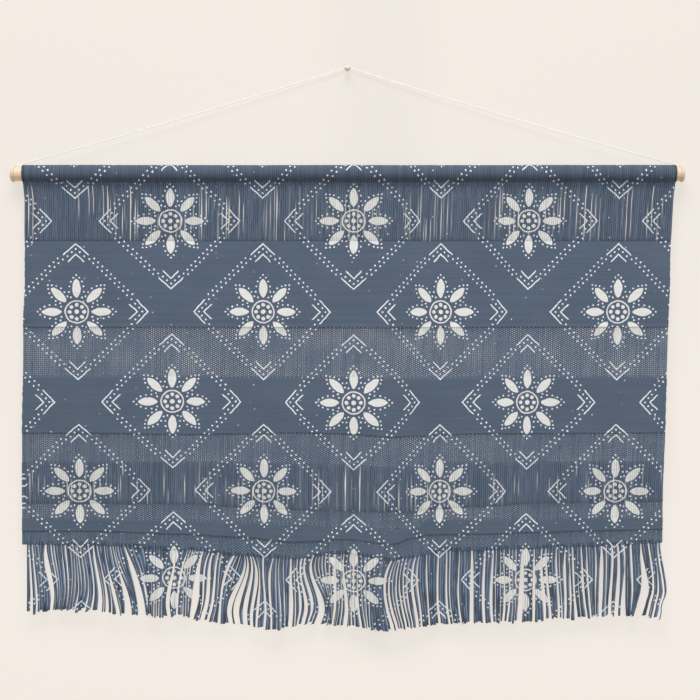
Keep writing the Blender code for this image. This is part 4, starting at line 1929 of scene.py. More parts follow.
@dataclass
class RodPocket:
    """The top of the cloth, folded over the dowel and sewn just below it."""

    thickness: float = 0.0014
    clearance: float = 0.00025
    lift: float = 0.0006
    groove: float = 0.00022
    fray: float = 0.00022
    unevenness: float = 0.00006
    waviness: float = 0.00016
    left: float = -0.2976
    right: float = 0.3008
    shade_up: float = 0.0026
    flap_y: float = -0.0074
    flap_length: float = 0.0030
    seam_z: float = -0.1048
    front: float = 157.0
    back: float = -161.0
    arc_rows: int = 22
    flat: tuple[float, float] = (0.598, 0.0455)

    def rows(self, dowel: Dowel) -> list[tuple[float, float, float, float, float]]:
        """The path over the dowel.

        Args:
            dowel: What it is folded over.

        Returns:
            For each row its y, z, the outward y and z, and its height in the print's plan.
        """
        radius = dowel.radius + self.clearance + self.thickness / 2
        level = dowel.z + self.lift
        seam = self.seam_z
        rows = [
            (DRAPE.panel_y + 0.0009, seam - 0.0016, -1.0, 0.0, seam - 0.0016),
            (DRAPE.panel_y + 0.0004, seam, -0.9, -0.4, seam),
        ]
        turn_from = math.radians(45)
        for degrees in np.linspace(self.front, self.back, self.arc_rows):
            turn = math.radians(degrees)
            y, z = dowel.y - radius * math.sin(turn), level + radius * math.cos(turn)
            plan = z
            if turn < turn_from:
                plan = level + radius * (math.cos(turn_from) + turn_from - turn)
            rows.append((y, z, -math.sin(turn), math.cos(turn), plan))
        plan = rows[-1][4]
        rows.append((self.flap_y, seam, 1.0, 0.0, plan + 0.003))
        rows.append((self.flap_y, seam - self.flap_length, 1.0, 0.0, plan + 0.006))
        return rows

    def build(self, dowel: Dowel, finish: bpy.types.Material) -> bpy.types.Object:
        """Builds the ridged pocket.

        Args:
            dowel: What it is folded over.
            finish: Its material.

        Returns:
            The pocket.
        """
        rows = np.array(self.rows(dowel))
        columns = DRAPE.yarns * 3
        pocket, i, j = add_grid("rod_pocket", columns, len(rows) - 1)
        share = i / columns
        y, z, out_y, out_z, plan = rows[j].T
        left, right = DRAPE.edges(z)
        arc = z > self.seam_z + 0.0004
        left = np.where(arc, self.left, left)
        right = np.where(arc, self.right, right)
        fray = self.fray * uneven(j, 3)
        x = left + (right - left) * share
        x += np.where(i == 0, fray, 0.0) - np.where(i == columns, fray, 0.0)
        yarn = i // 3
        push = np.where(i % 3 == 0, -self.groove, 0.0)
        push += self.unevenness * uneven(yarn, 1)
        push += self.waviness * wandering(x * 26.0, j * 0.25, 4.0)
        move_points(pocket, np.stack((x, y + out_y * push, z + out_z * push), axis=1))
        outward = np.stack((0 * x, out_y, out_z), axis=1)
        if np.sum(normals_of(pocket) * outward) < 0:
            turn_faces(pocket)
        down = (np.max(plan) - plan) / MM
        note(pocket, "outward", outward)
        note(pocket, "plan_height", plan)
        note(pocket, "yarn_number", yarn + 0.0)
        # Painted shade: the groove columns and the columns at the open ends take the yarn's darkest
        # crease tone; the same value also shapes the bump.
        groove = (i % 3 == 0) | (i < 3) | (i > columns - 3)
        groove_shade_and_bump = np.where(groove, 1.0, 0.35)
        # pick_phase is the distance from just above the seam, so the finish paints a shadow line
        # along the pocket's lower edge.
        note(pocket, "pick_phase", np.abs(plan - self.seam_z - self.shade_up) / PICK)
        note(pocket, "yarn_round", np.stack((groove_shade_and_bump, 1.0 - groove_shade_and_bump, down), axis=1))
        thicken(pocket, self.thickness)
        return self.finish(pocket, finish)

    def finish(self, pocket: bpy.types.Object, finish: bpy.types.Material) -> bpy.types.Object:
        """Marks the printed side, which is the outer one all round, and dresses the pocket.

        Args:
            pocket: The pocket with its thickness.
            finish: Its material.

        Returns:
            The pocket.
        """
        notes = pocket.data.attributes
        outward = fetch(notes["outward"].data, "vector")
        height = fetch(notes["plan_height"].data, "value", 1)[:, 0]
        mark_print(pocket, outward)
        note(pocket, "print_plan", PLAN.read(points_of(pocket)[:, 0], height))
        for spare in ("outward", "plan_height"):
            notes.remove(notes[spare])
        smooth(pocket, 70)
        return dress(pocket, finish)


@dataclass
class SeamStitches:
    """The row of short stitches that closes the pocket."""

    count: int = 196
    length: float = 0.0021
    width: float = 0.0004
    drop: float = 0.0005
    left_margin: float = 0.002
    right_margin: float = 0.004
    sunk: float = 0.00022
    arch: float = 0.0005
    unevenness: float = 0.00012

    def build(self, finish: bpy.types.Material) -> bpy.types.Object:
        """Builds the stitches just below the pocket, each dipping into the cloth.

        Args:
            finish: Their material.

        Returns:
            The stitches.
        """
        row = StrandRow("seam_stitches", self.count, 6, 6)
        z = DRAPE.bands[0].top - self.drop
        left, right = (float(edge) for edge in DRAPE.edges(np.array(z)))
        left, right = left + self.left_margin, right - self.right_margin
        start = np.linspace(left, right, self.count)[:, None]
        t = np.linspace(0, 1, row.rings + 1)[None, :]
        x = start + self.length * t
        y = np.full_like(x, DRAPE.panel_y - self.sunk) - self.arch * np.sin(math.pi * t) ** 0.6
        height = z + self.unevenness * uneven(np.arange(self.count), 5)[:, None] + 0 * x
        centre = np.stack((x, y, height), axis=-1)
        thick = self.width * (0.45 + 0.55 * np.sin(math.pi * (0.08 + 0.84 * t))) + 0 * x
        # With no pick_phase, the pocket finish's border darkening, painted shade, falls on all the
        # stitches.
        return dress_cloth(row.lay(centre, thick, thick, level=True), finish)


class Gap(NamedTuple):
    """A gap between floats: place in mm, width in mm, and where it begins and ends."""

    x: float
    width: float
    start: float
    end: float


UPPER_GAPS = table(
    Gap,
    (-291, 0.8, 0.0, 1.0), (-288, 0.8, -0.1, 1.1), (-280, 0.4, 0.5, 0.9), (-276, 0.4, 0.5, 0.9),
    (-271, 0.2, 0.1, 0.7), (-247, 0.5, 0.0, 0.7), (-236, 0.9, -0.1, 0.6), (-233, 0.8, -0.1, 0.6),
    (-228, 0.2, 0.1, 0.6), (-224, 0.6, -0.1, 0.8), (-220, 0.9, -0.1, 0.8), (-217, 0.5, 0.1, 0.9),
    (-214, 0.5, 0.2, 0.8), (-211, 0.4, 0.5, 1.0), (-207, 0.6, 0.3, 1.0), (-205, 0.3, 0.2, 0.8),
    (-202, 0.2, 0.4, 0.9), (-199, 1.0, 0.0, 1.1), (-195, 0.8, 0.2, 1.1), (-192, 0.5, 0.2, 1.1),
    (-187, 0.2, 0.5, 0.8), (-179, 0.3, 0.5, 0.9), (-173, 0.5, 0.5, 1.0), (-168, 0.4, 0.6, 0.9),
    (-157, 0.5, 0.6, 1.1), (-153, 0.5, 0.5, 0.9), (-149, 0.7, 0.5, 1.1), (-144, 0.4, 0.5, 0.9),
    (-142, 0.5, 0.3, 0.9), (-136, 0.4, 0.1, 1.1), (-133, 0.9, 0.0, 1.1), (-130, 0.8, 0.0, 0.8),
    (-127, 0.2, 0.2, 0.6), (-122, 0.3, 0.2, 0.5), (-119, 0.6, 0.4, 1.1), (-114, 0.5, 0.3, 0.9),
    (-111, 1.0, 0.2, 1.0), (-108, 0.7, 0.2, 1.0), (-103, 0.1, 0.1, 0.5), (-99, 0.7, 0.1, 1.0),
    (-96, 0.7, 0.3, 0.9), (-93, 0.1, 0.5, 1.0), (-77, 0.2, 0.1, 1.0), (-74, 0.4, 0.1, 1.1),
    (-70, 0.4, 0.1, 1.1), (-67, 0.4, -0.1, 1.1), (-64, 0.7, -0.1, 1.1), (-62, 0.2, 0.2, 0.9),
    (-57, 0.4, 0.6, 1.1), (-53, 0.2, 0.0, 1.0), (-47, 0.3, 0.2, 1.1), (-44, 0.3, -0.1, 0.8),
    (-40, 0.2, 0.2, 0.8), (-32, 0.2, 0.2, 1.0), (-28, 0.3, 0.0, 1.0), (-22, 0.3, 0.5, 0.8),
    (-19, 0.3, 0.3, 1.0), (-14, 0.3, 0.4, 0.9), (-5, 0.6, 0.5, 1.0), (-2, 0.5, 0.2, 0.9),
    (1, 0.6, 0.3, 1.1), (5, 0.5, 0.4, 0.9), (9, 0.7, 0.3, 1.1), (15, 0.8, 0.4, 0.9),
    (22, 0.5, 0.4, 1.0), (26, 0.5, 0.4, 1.0), (29, 0.4, 0.3, 1.0), (34, 0.4, 0.5, 0.8),
    (44, 0.1, 0.4, 0.8), (51, 0.2, 0.2, 1.0), (54, 0.3, 0.3, 1.0), (56, 0.3, 0.5, 0.9),
    (58, 0.3, 0.1, 1.1), (64, 0.4, 0.2, 1.0), (67, 0.5, -0.1, 1.0), (70, 0.3, 0.6, 1.1),
    (73, 0.5, 0.6, 1.1), (77, 0.6, 0.6, 1.1), (80, 0.5, 0.1, 1.0), (82, 0.2, 0.1, 1.0),
    (85, 0.6, 0.1, 1.1), (88, 0.3, -0.1, 1.0), (91, 0.4, 0.1, 1.0), (95, 0.3, 0.0, 1.0),
    (98, 0.1, 0.4, 0.8), (110, 0.3, 0.5, 0.8), (118, 0.4, 0.4, 1.0), (125, 0.2, 0.3, 1.0),
    (129, 0.2, 0.2, 1.0), (135, 0.5, 0.1, 1.1), (139, 0.7, 0.0, 0.9), (142, 0.4, -0.1, 0.9),
    (148, 0.5, 0.4, 1.0), (152, 0.6, 0.4, 1.1), (157, 0.7, 0.4, 0.8), (162, 0.2, 0.7, 1.0),
    (171, 0.5, 0.5, 0.7), (175, 0.6, 0.5, 0.8), (181, 0.6, 0.2, 0.9), (185, 0.4, 0.4, 0.8),
    (188, 0.4, 0.2, 1.0), (193, 0.4, 0.2, 0.8), (195, 0.5, 0.0, 1.0), (198, 0.6, -0.1, 1.0),
    (205, 0.3, 0.0, 1.0), (209, 0.5, 0.0, 1.1), (213, 0.4, 0.4, 0.9), (218, 1.0, -0.1, 1.1),
    (223, 0.7, 0.1, 1.1), (227, 0.5, 0.1, 1.0), (230, 0.5, 0.2, 1.1), (234, 0.2, 0.4, 0.9),
    (245, 0.4, 0.1, 0.3), (252, 0.2, 0.1, 0.9), (255, 0.8, 0.0, 1.1), (259, 0.7, 0.0, 1.0),
    (265, 0.2, 0.6, 1.1), (275, 0.5, 0.3, 1.0), (278, 0.7, -0.1, 0.9), (284, 0.4, 0.5, 1.1),
    (288, 0.4, 0.1, 0.9), (291, 0.2, 0.4, 0.9),
)

LOWER_GAPS = table(
    Gap,
    (-291, 0.6, 0.1, 1.1), (-288, 0.4, 0.1, 0.7), (-284, 0.4, 0.2, 1.0), (-277, 0.3, 0.2, 1.0),
    (-270, 0.3, 0.2, 1.0), (-256, 0.7, 0.4, 0.9), (-253, 0.4, 0.3, 1.1), (-246, 0.5, 0.4, 1.0),
    (-240, 0.4, -0.1, 0.6), (-236, 0.6, 0.5, 1.0), (-232, 0.7, 0.3, 1.1), (-227, 0.4, 0.2, 0.9),
    (-220, 0.5, -0.1, 0.7), (-217, 0.6, 0.5, 0.9), (-210, 0.3, 0.1, 1.0), (-207, 0.5, 0.2, 1.0),
    (-205, 0.5, -0.1, 0.4), (-197, 0.3, 0.7, 1.0), (-193, 0.4, 0.3, 1.0), (-184, 0.4, 0.6, 1.1),
    (-168, 0.5, 0.0, 0.9), (-165, 0.3, 0.6, 1.1), (-150, 0.6, 0.2, 1.1), (-139, 0.5, 0.5, 0.9),
    (-136, 0.4, -0.1, 0.7), (-131, 0.4, 0.4, 1.1), (-129, 0.4, 0.4, 0.9), (-126, 0.3, 0.1, 0.6),
    (-120, 0.3, 0.5, 1.1), (-112, 0.3, 0.3, 0.9), (-105, 0.4, 0.4, 1.1), (-101, 0.5, 0.3, 1.1),
    (-97, 0.5, 0.3, 1.1), (-87, 0.6, 0.5, 0.9), (-82, 0.5, 0.3, 0.9), (-77, 0.6, 0.4, 1.1),
    (-71, 0.5, 0.6, 1.0), (-65, 0.5, 0.4, 1.1), (-55, 0.3, 0.2, 1.1), (-50, 0.5, 0.4, 0.9),
    (-43, 0.2, 0.0, 1.1), (-33, 0.3, 0.0, 1.0), (-26, 0.6, 0.1, 1.1), (-22, 0.3, 0.3, 0.9),
    (-17, 0.5, 0.5, 0.9), (-9, 0.3, 0.3, 1.0), (-2, 1.0, -0.1, 1.1), (3, 0.2, 0.2, 1.0),
    (12, 0.8, -0.1, 1.1), (24, 0.2, 0.3, 1.0), (28, 0.4, 0.5, 0.9), (33, 0.3, 0.4, 1.1),
    (38, 0.4, 0.5, 0.9), (47, 0.6, 0.3, 1.1), (55, 0.3, 0.2, 1.0), (58, 0.5, 0.1, 1.1),
    (63, 0.5, 0.4, 1.1), (73, 0.6, 0.2, 1.1), (78, 0.5, 0.4, 0.9), (84, 0.6, 0.3, 1.1),
    (88, 0.4, 0.6, 1.0), (93, 0.6, 0.4, 1.1), (98, 0.4, 0.4, 1.1), (109, 0.2, 0.2, 1.0),
    (111, 0.5, 0.5, 0.9), (129, 0.3, 0.1, 0.4), (134, 0.6, 0.2, 1.0), (138, 0.4, 0.4, 1.1),
    (142, 0.4, 0.5, 1.1), (152, 0.3, 0.2, 0.9), (156, 0.3, 0.2, 0.9), (174, 0.4, 0.1, 0.9),
    (185, 0.6, 0.3, 0.9), (193, 0.4, 0.2, 0.9), (195, 0.4, 0.6, 1.1), (209, 0.4, -0.1, 0.4),
    (218, 0.4, 0.1, 1.1), (221, 0.4, 0.3, 0.9), (227, 0.5, 0.7, 1.1), (235, 0.6, 0.4, 1.1),
    (239, 0.5, 0.4, 0.9), (244, 0.8, -0.1, 1.1), (250, 0.5, 0.4, 0.9), (254, 0.6, 0.4, 1.0),
    (261, 0.4, 0.3, 1.0), (270, 0.4, 0.0, 0.8), (273, 0.6, 0.5, 1.0), (286, 0.3, 0.0, 0.8),
)


@dataclass
class FloatBand:
    """A band of bare upright yarns that lie side by side and part here and there."""

    band: int
    gaps: tuple[Gap, ...]
    rings: int
    sides: int = 6
    depth: float = 0.0011
    overlap: float = 1.02
    reach: float = 2.2
    gain: float = 1.02
    start_up: float = 0.0002
    turn_in: float = 0.0012
    turn_depth: float = 0.0006
    hairline: float = 0.00012
    sway: float = 0.00008
    unevenness: float = 0.00007
    depth_spread: float = 0.14
    depth_step: float = 0.00022

    def openings(self, middle: np.ndarray, down: np.ndarray) -> np.ndarray:
        """Width of the gap at each boundary between yarns, at each ring.

        Args:
            middle: Places of the boundaries.
            down: Shares down the band.

        Returns:
            Widths by boundary and ring.
        """
        number = np.arange(len(middle))[:, None]
        loose = 0.9 * uneven(number, 21)
        loose = loose + 0.7 * wandering(number * 0.8, down * 4.0, self.band + 3.0)
        result = self.hairline * np.clip(loose, 0.0, 1.0)
        for k, gap in enumerate(self.gaps):
            nearest = int(np.argmin(np.abs(middle - gap.x * MM)))
            place = np.clip((down - gap.start) / (gap.end - gap.start), 0.0, 1.0)
            ripple = 1.0 + 0.3 * np.sin(down * 9.0 + 5.0 * float(uneven(k, 3)))
            width = gap.width * MM * self.gain
            result[nearest] += width * np.sin(math.pi * place) ** 0.95 * ripple
        return result

    def build(self, finish: bpy.types.Material) -> bpy.types.Object:
        """Builds the yarns of the band, each filling the space between two boundaries.

        Args:
            finish: Their material.

        Returns:
            The band.
        """
        count = DRAPE.yarns
        tall = DRAPE.tall(self.band)
        turn = self.turn_in / tall
        down = np.linspace(-self.start_up / tall, 1.0 - turn, self.rings - 1)
        down = np.concatenate((down, [1.0 - turn * 0.3, 1.0 + 0.0005 / tall]))
        edge = np.arange(count + 1)
        line = DRAPE.lay(self.band, (edge / count)[:, None], down[None, :])
        gaps = self.openings(line[:, self.rings // 2, 0], down)
        gaps[0] = gaps[-1] = 0.0
        away = edge[:, None] - edge[None, :]
        push = 0.5 * np.sign(away) * np.exp(-np.abs(away) / self.reach)
        held = np.clip(np.minimum(edge, count - edge) / 3.0, 0.0, 1.0)[:, None]
        sway = self.sway * wandering(edge[:, None] * 0.9, down[None, :] * 3.0, self.band + 1.0)
        sway = sway + self.unevenness * uneven(edge, 12)[:, None]
        middle = line[:, :, 0] + held * (push @ gaps + sway)
        start, end = (middle + gaps / 2)[:-1], (middle - gaps / 2)[1:]
        centre = (line[1:] + line[:-1]) / 2
        centre[:, :, 0] = (start + end) / 2
        number = np.arange(count)
        width = (end - start) * self.overlap
        crowd = np.clip(YARN * MM / np.maximum(end - start, 0.0008), 0.8, 1.5)
        depth = self.depth * crowd * (1.0 + self.depth_spread * uneven(number, 7)[:, None])
        centre[:, :, 1] += self.depth_step * uneven(number, 4)[:, None]
        centre[:, -2:, 1] += self.turn_depth * np.array([0.45, 1.0])
        row = StrandRow(DRAPE.bands[self.band].name, count, self.sides, self.rings)
        obj = row.lay(centre, width, depth)
        # pick_phase counts picks down from the band's top, where the finish paints the floats
        # lighter: painted light against the shadow cast from above.
        note(obj, "pick_phase", down[row.ring_numbers()] * tall / PICK)
        return dress_cloth(obj, finish)


class Opening(NamedTuple):
    """The gaps between the ribs and between the picks of an open band."""

    rib_gap: float
    pick_gap: float


@dataclass
class OpenBand:
    """A band of upright ribs, tied by crossways yarns with small holes set like bricks."""

    band: int
    opening: Opening
    seed: float
    rib_depth: float = 0.00100
    pick_depth: float = 0.00050
    bead: float = 0.00005
    knot_step: float = 0.00007
    rib_step: float = 0.00009
    depth_spread: float = 0.08
    depth_step: float = 0.00006
    zigzag: float = 0.25
    side_share: float = 0.0008
    narrowest: float = 0.0006

    def openness(self, x: np.ndarray, z: np.ndarray) -> np.ndarray:
        """How open the weave is at some places, 1 on average.

        Args:
            x: Places across.
            z: Heights.

        Returns:
            The openness there.
        """
        broad = wandering(x * 34.0, z * 60.0, self.seed)
        fine = wandering(x * 190.0, z * 40.0, self.seed + 2.0)
        return np.clip(1.0 + 0.34 * broad + 0.26 * fine, 0.3, 1.8)

    def build(self, finish: bpy.types.Material) -> bpy.types.Object:
        """Builds the ribs and the picks that tie them, as one piece.

        Args:
            finish: Their material.

        Returns:
            The band.
        """
        name = DRAPE.bands[self.band].name
        picks = max(int(round(DRAPE.tall(self.band) / PICK)), 3)
        obj = join(name, [self.build_ribs(name, picks), self.build_ties(name + "_ties", picks)])
        return dress_cloth(obj, finish)

    def build_ribs(self, name: str, picks: int) -> bpy.types.Object:
        """The upright ribs, a little beaded from pick to pick.

        Args:
            name: The band's name.
            picks: How many picks tie them.

        Returns:
            The ribs.
        """
        count, rings = DRAPE.yarns, picks + 1
        number = np.arange(count)[:, None]
        down = np.linspace(-0.02, 1.02, rings + 1)[None, :]
        centre = DRAPE.lay(self.band, (number + 0.5) / count, down)
        pitch = (centre[-1, :, 0] - centre[0, :, 0]) / (count - 1)
        open_here = self.openness(centre[:, :, 0], centre[:, :, 2])
        step = np.arange(rings + 1)[None, :]
        width = pitch[None, :] - self.opening.rib_gap * open_here
        width += self.bead * np.where((number + step) % 2 == 0, 1.0, -1.0)
        aside = self.knot_step * uneven(number, step) + self.rib_step * uneven(number, 11)
        centre[:, :, 0] += aside
        depth = self.rib_depth * (1.0 + self.depth_spread * uneven(number, step, 3))
        centre[:, :, 1] += self.depth_step * uneven(number, 9)
        row = StrandRow(name + "_ribs", count, 6, rings)
        obj = row.lay(centre, width, depth)
        # pick_phase counts picks down from the band's top: it places the painted light dots and,
        # near the top, painted shade below the band above.
        note(obj, "pick_phase", down[0, row.ring_numbers()] * picks)
        return obj

    def build_ties(self, name: str, picks: int) -> bpy.types.Object:
        """The crossways yarns, each zigzagging from one space between ribs to the next.

        Args:
            name: The name of the mesh.
            picks: How many yarns there are.

        Returns:
            The yarns.
        """
        count = DRAPE.yarns
        number = np.arange(picks)[:, None]
        step = np.arange(count + 1)[None, :]
        zigzag = np.where(step % 2 == 0, self.zigzag, -self.zigzag)
        zigzag = zigzag * np.clip(np.minimum(number + 0.4, picks - 0.6 - number), 0.0, 1.0)
        share = self.side_share + (1.0 - 2 * self.side_share) * step / count
        centre = DRAPE.lay(self.band, share + 0.0 * number, (number + 0.5 + zigzag) / picks)
        pitch = np.abs(centre[-1:, :, 2] - centre[:1, :, 2]) / (picks - 1)
        open_here = self.openness(centre[:, :, 0], centre[:, :, 2])
        width = np.maximum(pitch - self.opening.pick_gap * open_here, self.narrowest)
        centre[:, :, 2] += self.rib_step * uneven(number, step)
        depth = np.full_like(width, self.pick_depth)
        return StrandRow(name, picks, 4, count).lay(centre, width, depth, level=True)


OPENINGS = {
    "open_weave_1": Opening(0.00043, 0.00051),
    "open_weave_2": Opening(0.00032, 0.00040),
    "open_weave_3": Opening(0.00030, 0.00038),
    "open_weave_4": Opening(0.00019, 0.00030),
}


@dataclass
class CloseBand:
    """A band of closely packed picks: a sheet with a thicker lower edge."""

    band: int
    columns: int = 312
    row_height: float = 0.0022
    thickness: float = 0.0013
    lip: float = 0.0002
    lip_height: float = 0.0016
    turn_in: float = 0.0001
    fray: float = 0.00030
    waviness: float = 0.00010
    foot_fray: float = 0.00012

    def build(self, finish: bpy.types.Material) -> bpy.types.Object:
        """Builds the sheet.

        Args:
            finish: Its material.

        Returns:
            The band.
        """
        tall = DRAPE.tall(self.band)
        plain = max(int(round(tall / self.row_height)), 4)
        foot = 1.0 - self.lip_height / tall
        shares = np.concatenate(
            (
                [0.0, 0.0003 / tall, 0.0008 / tall],
                np.linspace(0.0, foot, plain + 1)[1:],
                [foot + (1 - foot) * 0.4, 1.0 - 0.0004 / tall, 1.0],
            )
        )
        lips = self.lip * np.concatenate((np.zeros(plain + 3), [0.8, 1.0, 0.7]))
        lips[:2] -= self.turn_in * np.array([1.0, 0.45])
        obj, i, j = add_grid(DRAPE.bands[self.band].name, self.columns, len(shares) - 1)
        placed = DRAPE.lay(self.band, i / self.columns, shares[j])
        across = (placed[:, 0] - placed[:, 0].min()) / MM
        plan = (across, shares[j] * tall / MM + 200 * self.band, 0 * across)
        note(obj, "weft_place", np.stack(plan, axis=1))
        # pick_phase is the distance from the lower border, and from the upper one below floats; the
        # finish darkens the picks there as painted shadow lines.
        near = 1.0 - shares[j]
        if DRAPE.bands[self.band - 1].weave is Weave.FLOAT:
            near = np.minimum(near, shares[j])
        note(obj, "pick_phase", near * tall / PICK)
        edge = self.fray * uneven(j, self.band)
        placed[:, 0] += np.where(i == 0, edge, 0.0) + np.where(i == self.columns, edge, 0.0)
        wave = wandering(placed[:, 0] * 70.0, placed[:, 2] * 90.0, self.band)
        placed[:, 1] += self.waviness * wave - lips[j]
        foot = self.foot_fray * uneven(i, self.band)
        placed[:, 2] += np.where(j == len(shares) - 1, foot, 0.0)
        move_points(obj, placed)
        if np.sum(normals_of(obj)[:, 1]) > 0:
            turn_faces(obj)
        thicken(obj, self.thickness)
        dress_cloth(obj, finish, 50)
        return obj


# The fringe


# The four levels of a slit's row, and how much of its width is open near the hem
LEVELS = np.array([0.03, 0.343, 0.657, 0.97])
ROOT_LEVELS = (0.0, 0.16)
ROOT_SHARES = (0.62, 0.91)


class Slit(NamedTuple):
    """A slit between yarn ends: its middle and width at the four levels, its late turn, in mm."""

    middle: tuple[float, float, float, float]
    width: tuple[float, float, float, float]
    turn: float

    def path(self, fall: np.ndarray) -> np.ndarray:
        """The middle's x at parts of the fall, from 0 at the hem to 1 at the tips."""
        curve = np.polyval(np.polyfit(LEVELS, self.middle, 3), fall)
        return MM * (curve + self.turn * np.exp(-(((fall - 0.8) / 0.1) ** 2)))

    def open(self, fall: np.ndarray) -> np.ndarray:
        """The width at parts of the fall."""
        share = np.interp(fall, ROOT_LEVELS, ROOT_SHARES)
        return MM * np.interp(fall, LEVELS, self.width) * share


def slits(*rows: tuple[float, ...]) -> tuple[Slit, ...]:
    """Slits from rows of four middles, four widths and perhaps a turn."""
    return tuple(Slit(r[:4], r[4:8], r[8] if len(r) > 8 else 0.0) for r in rows)


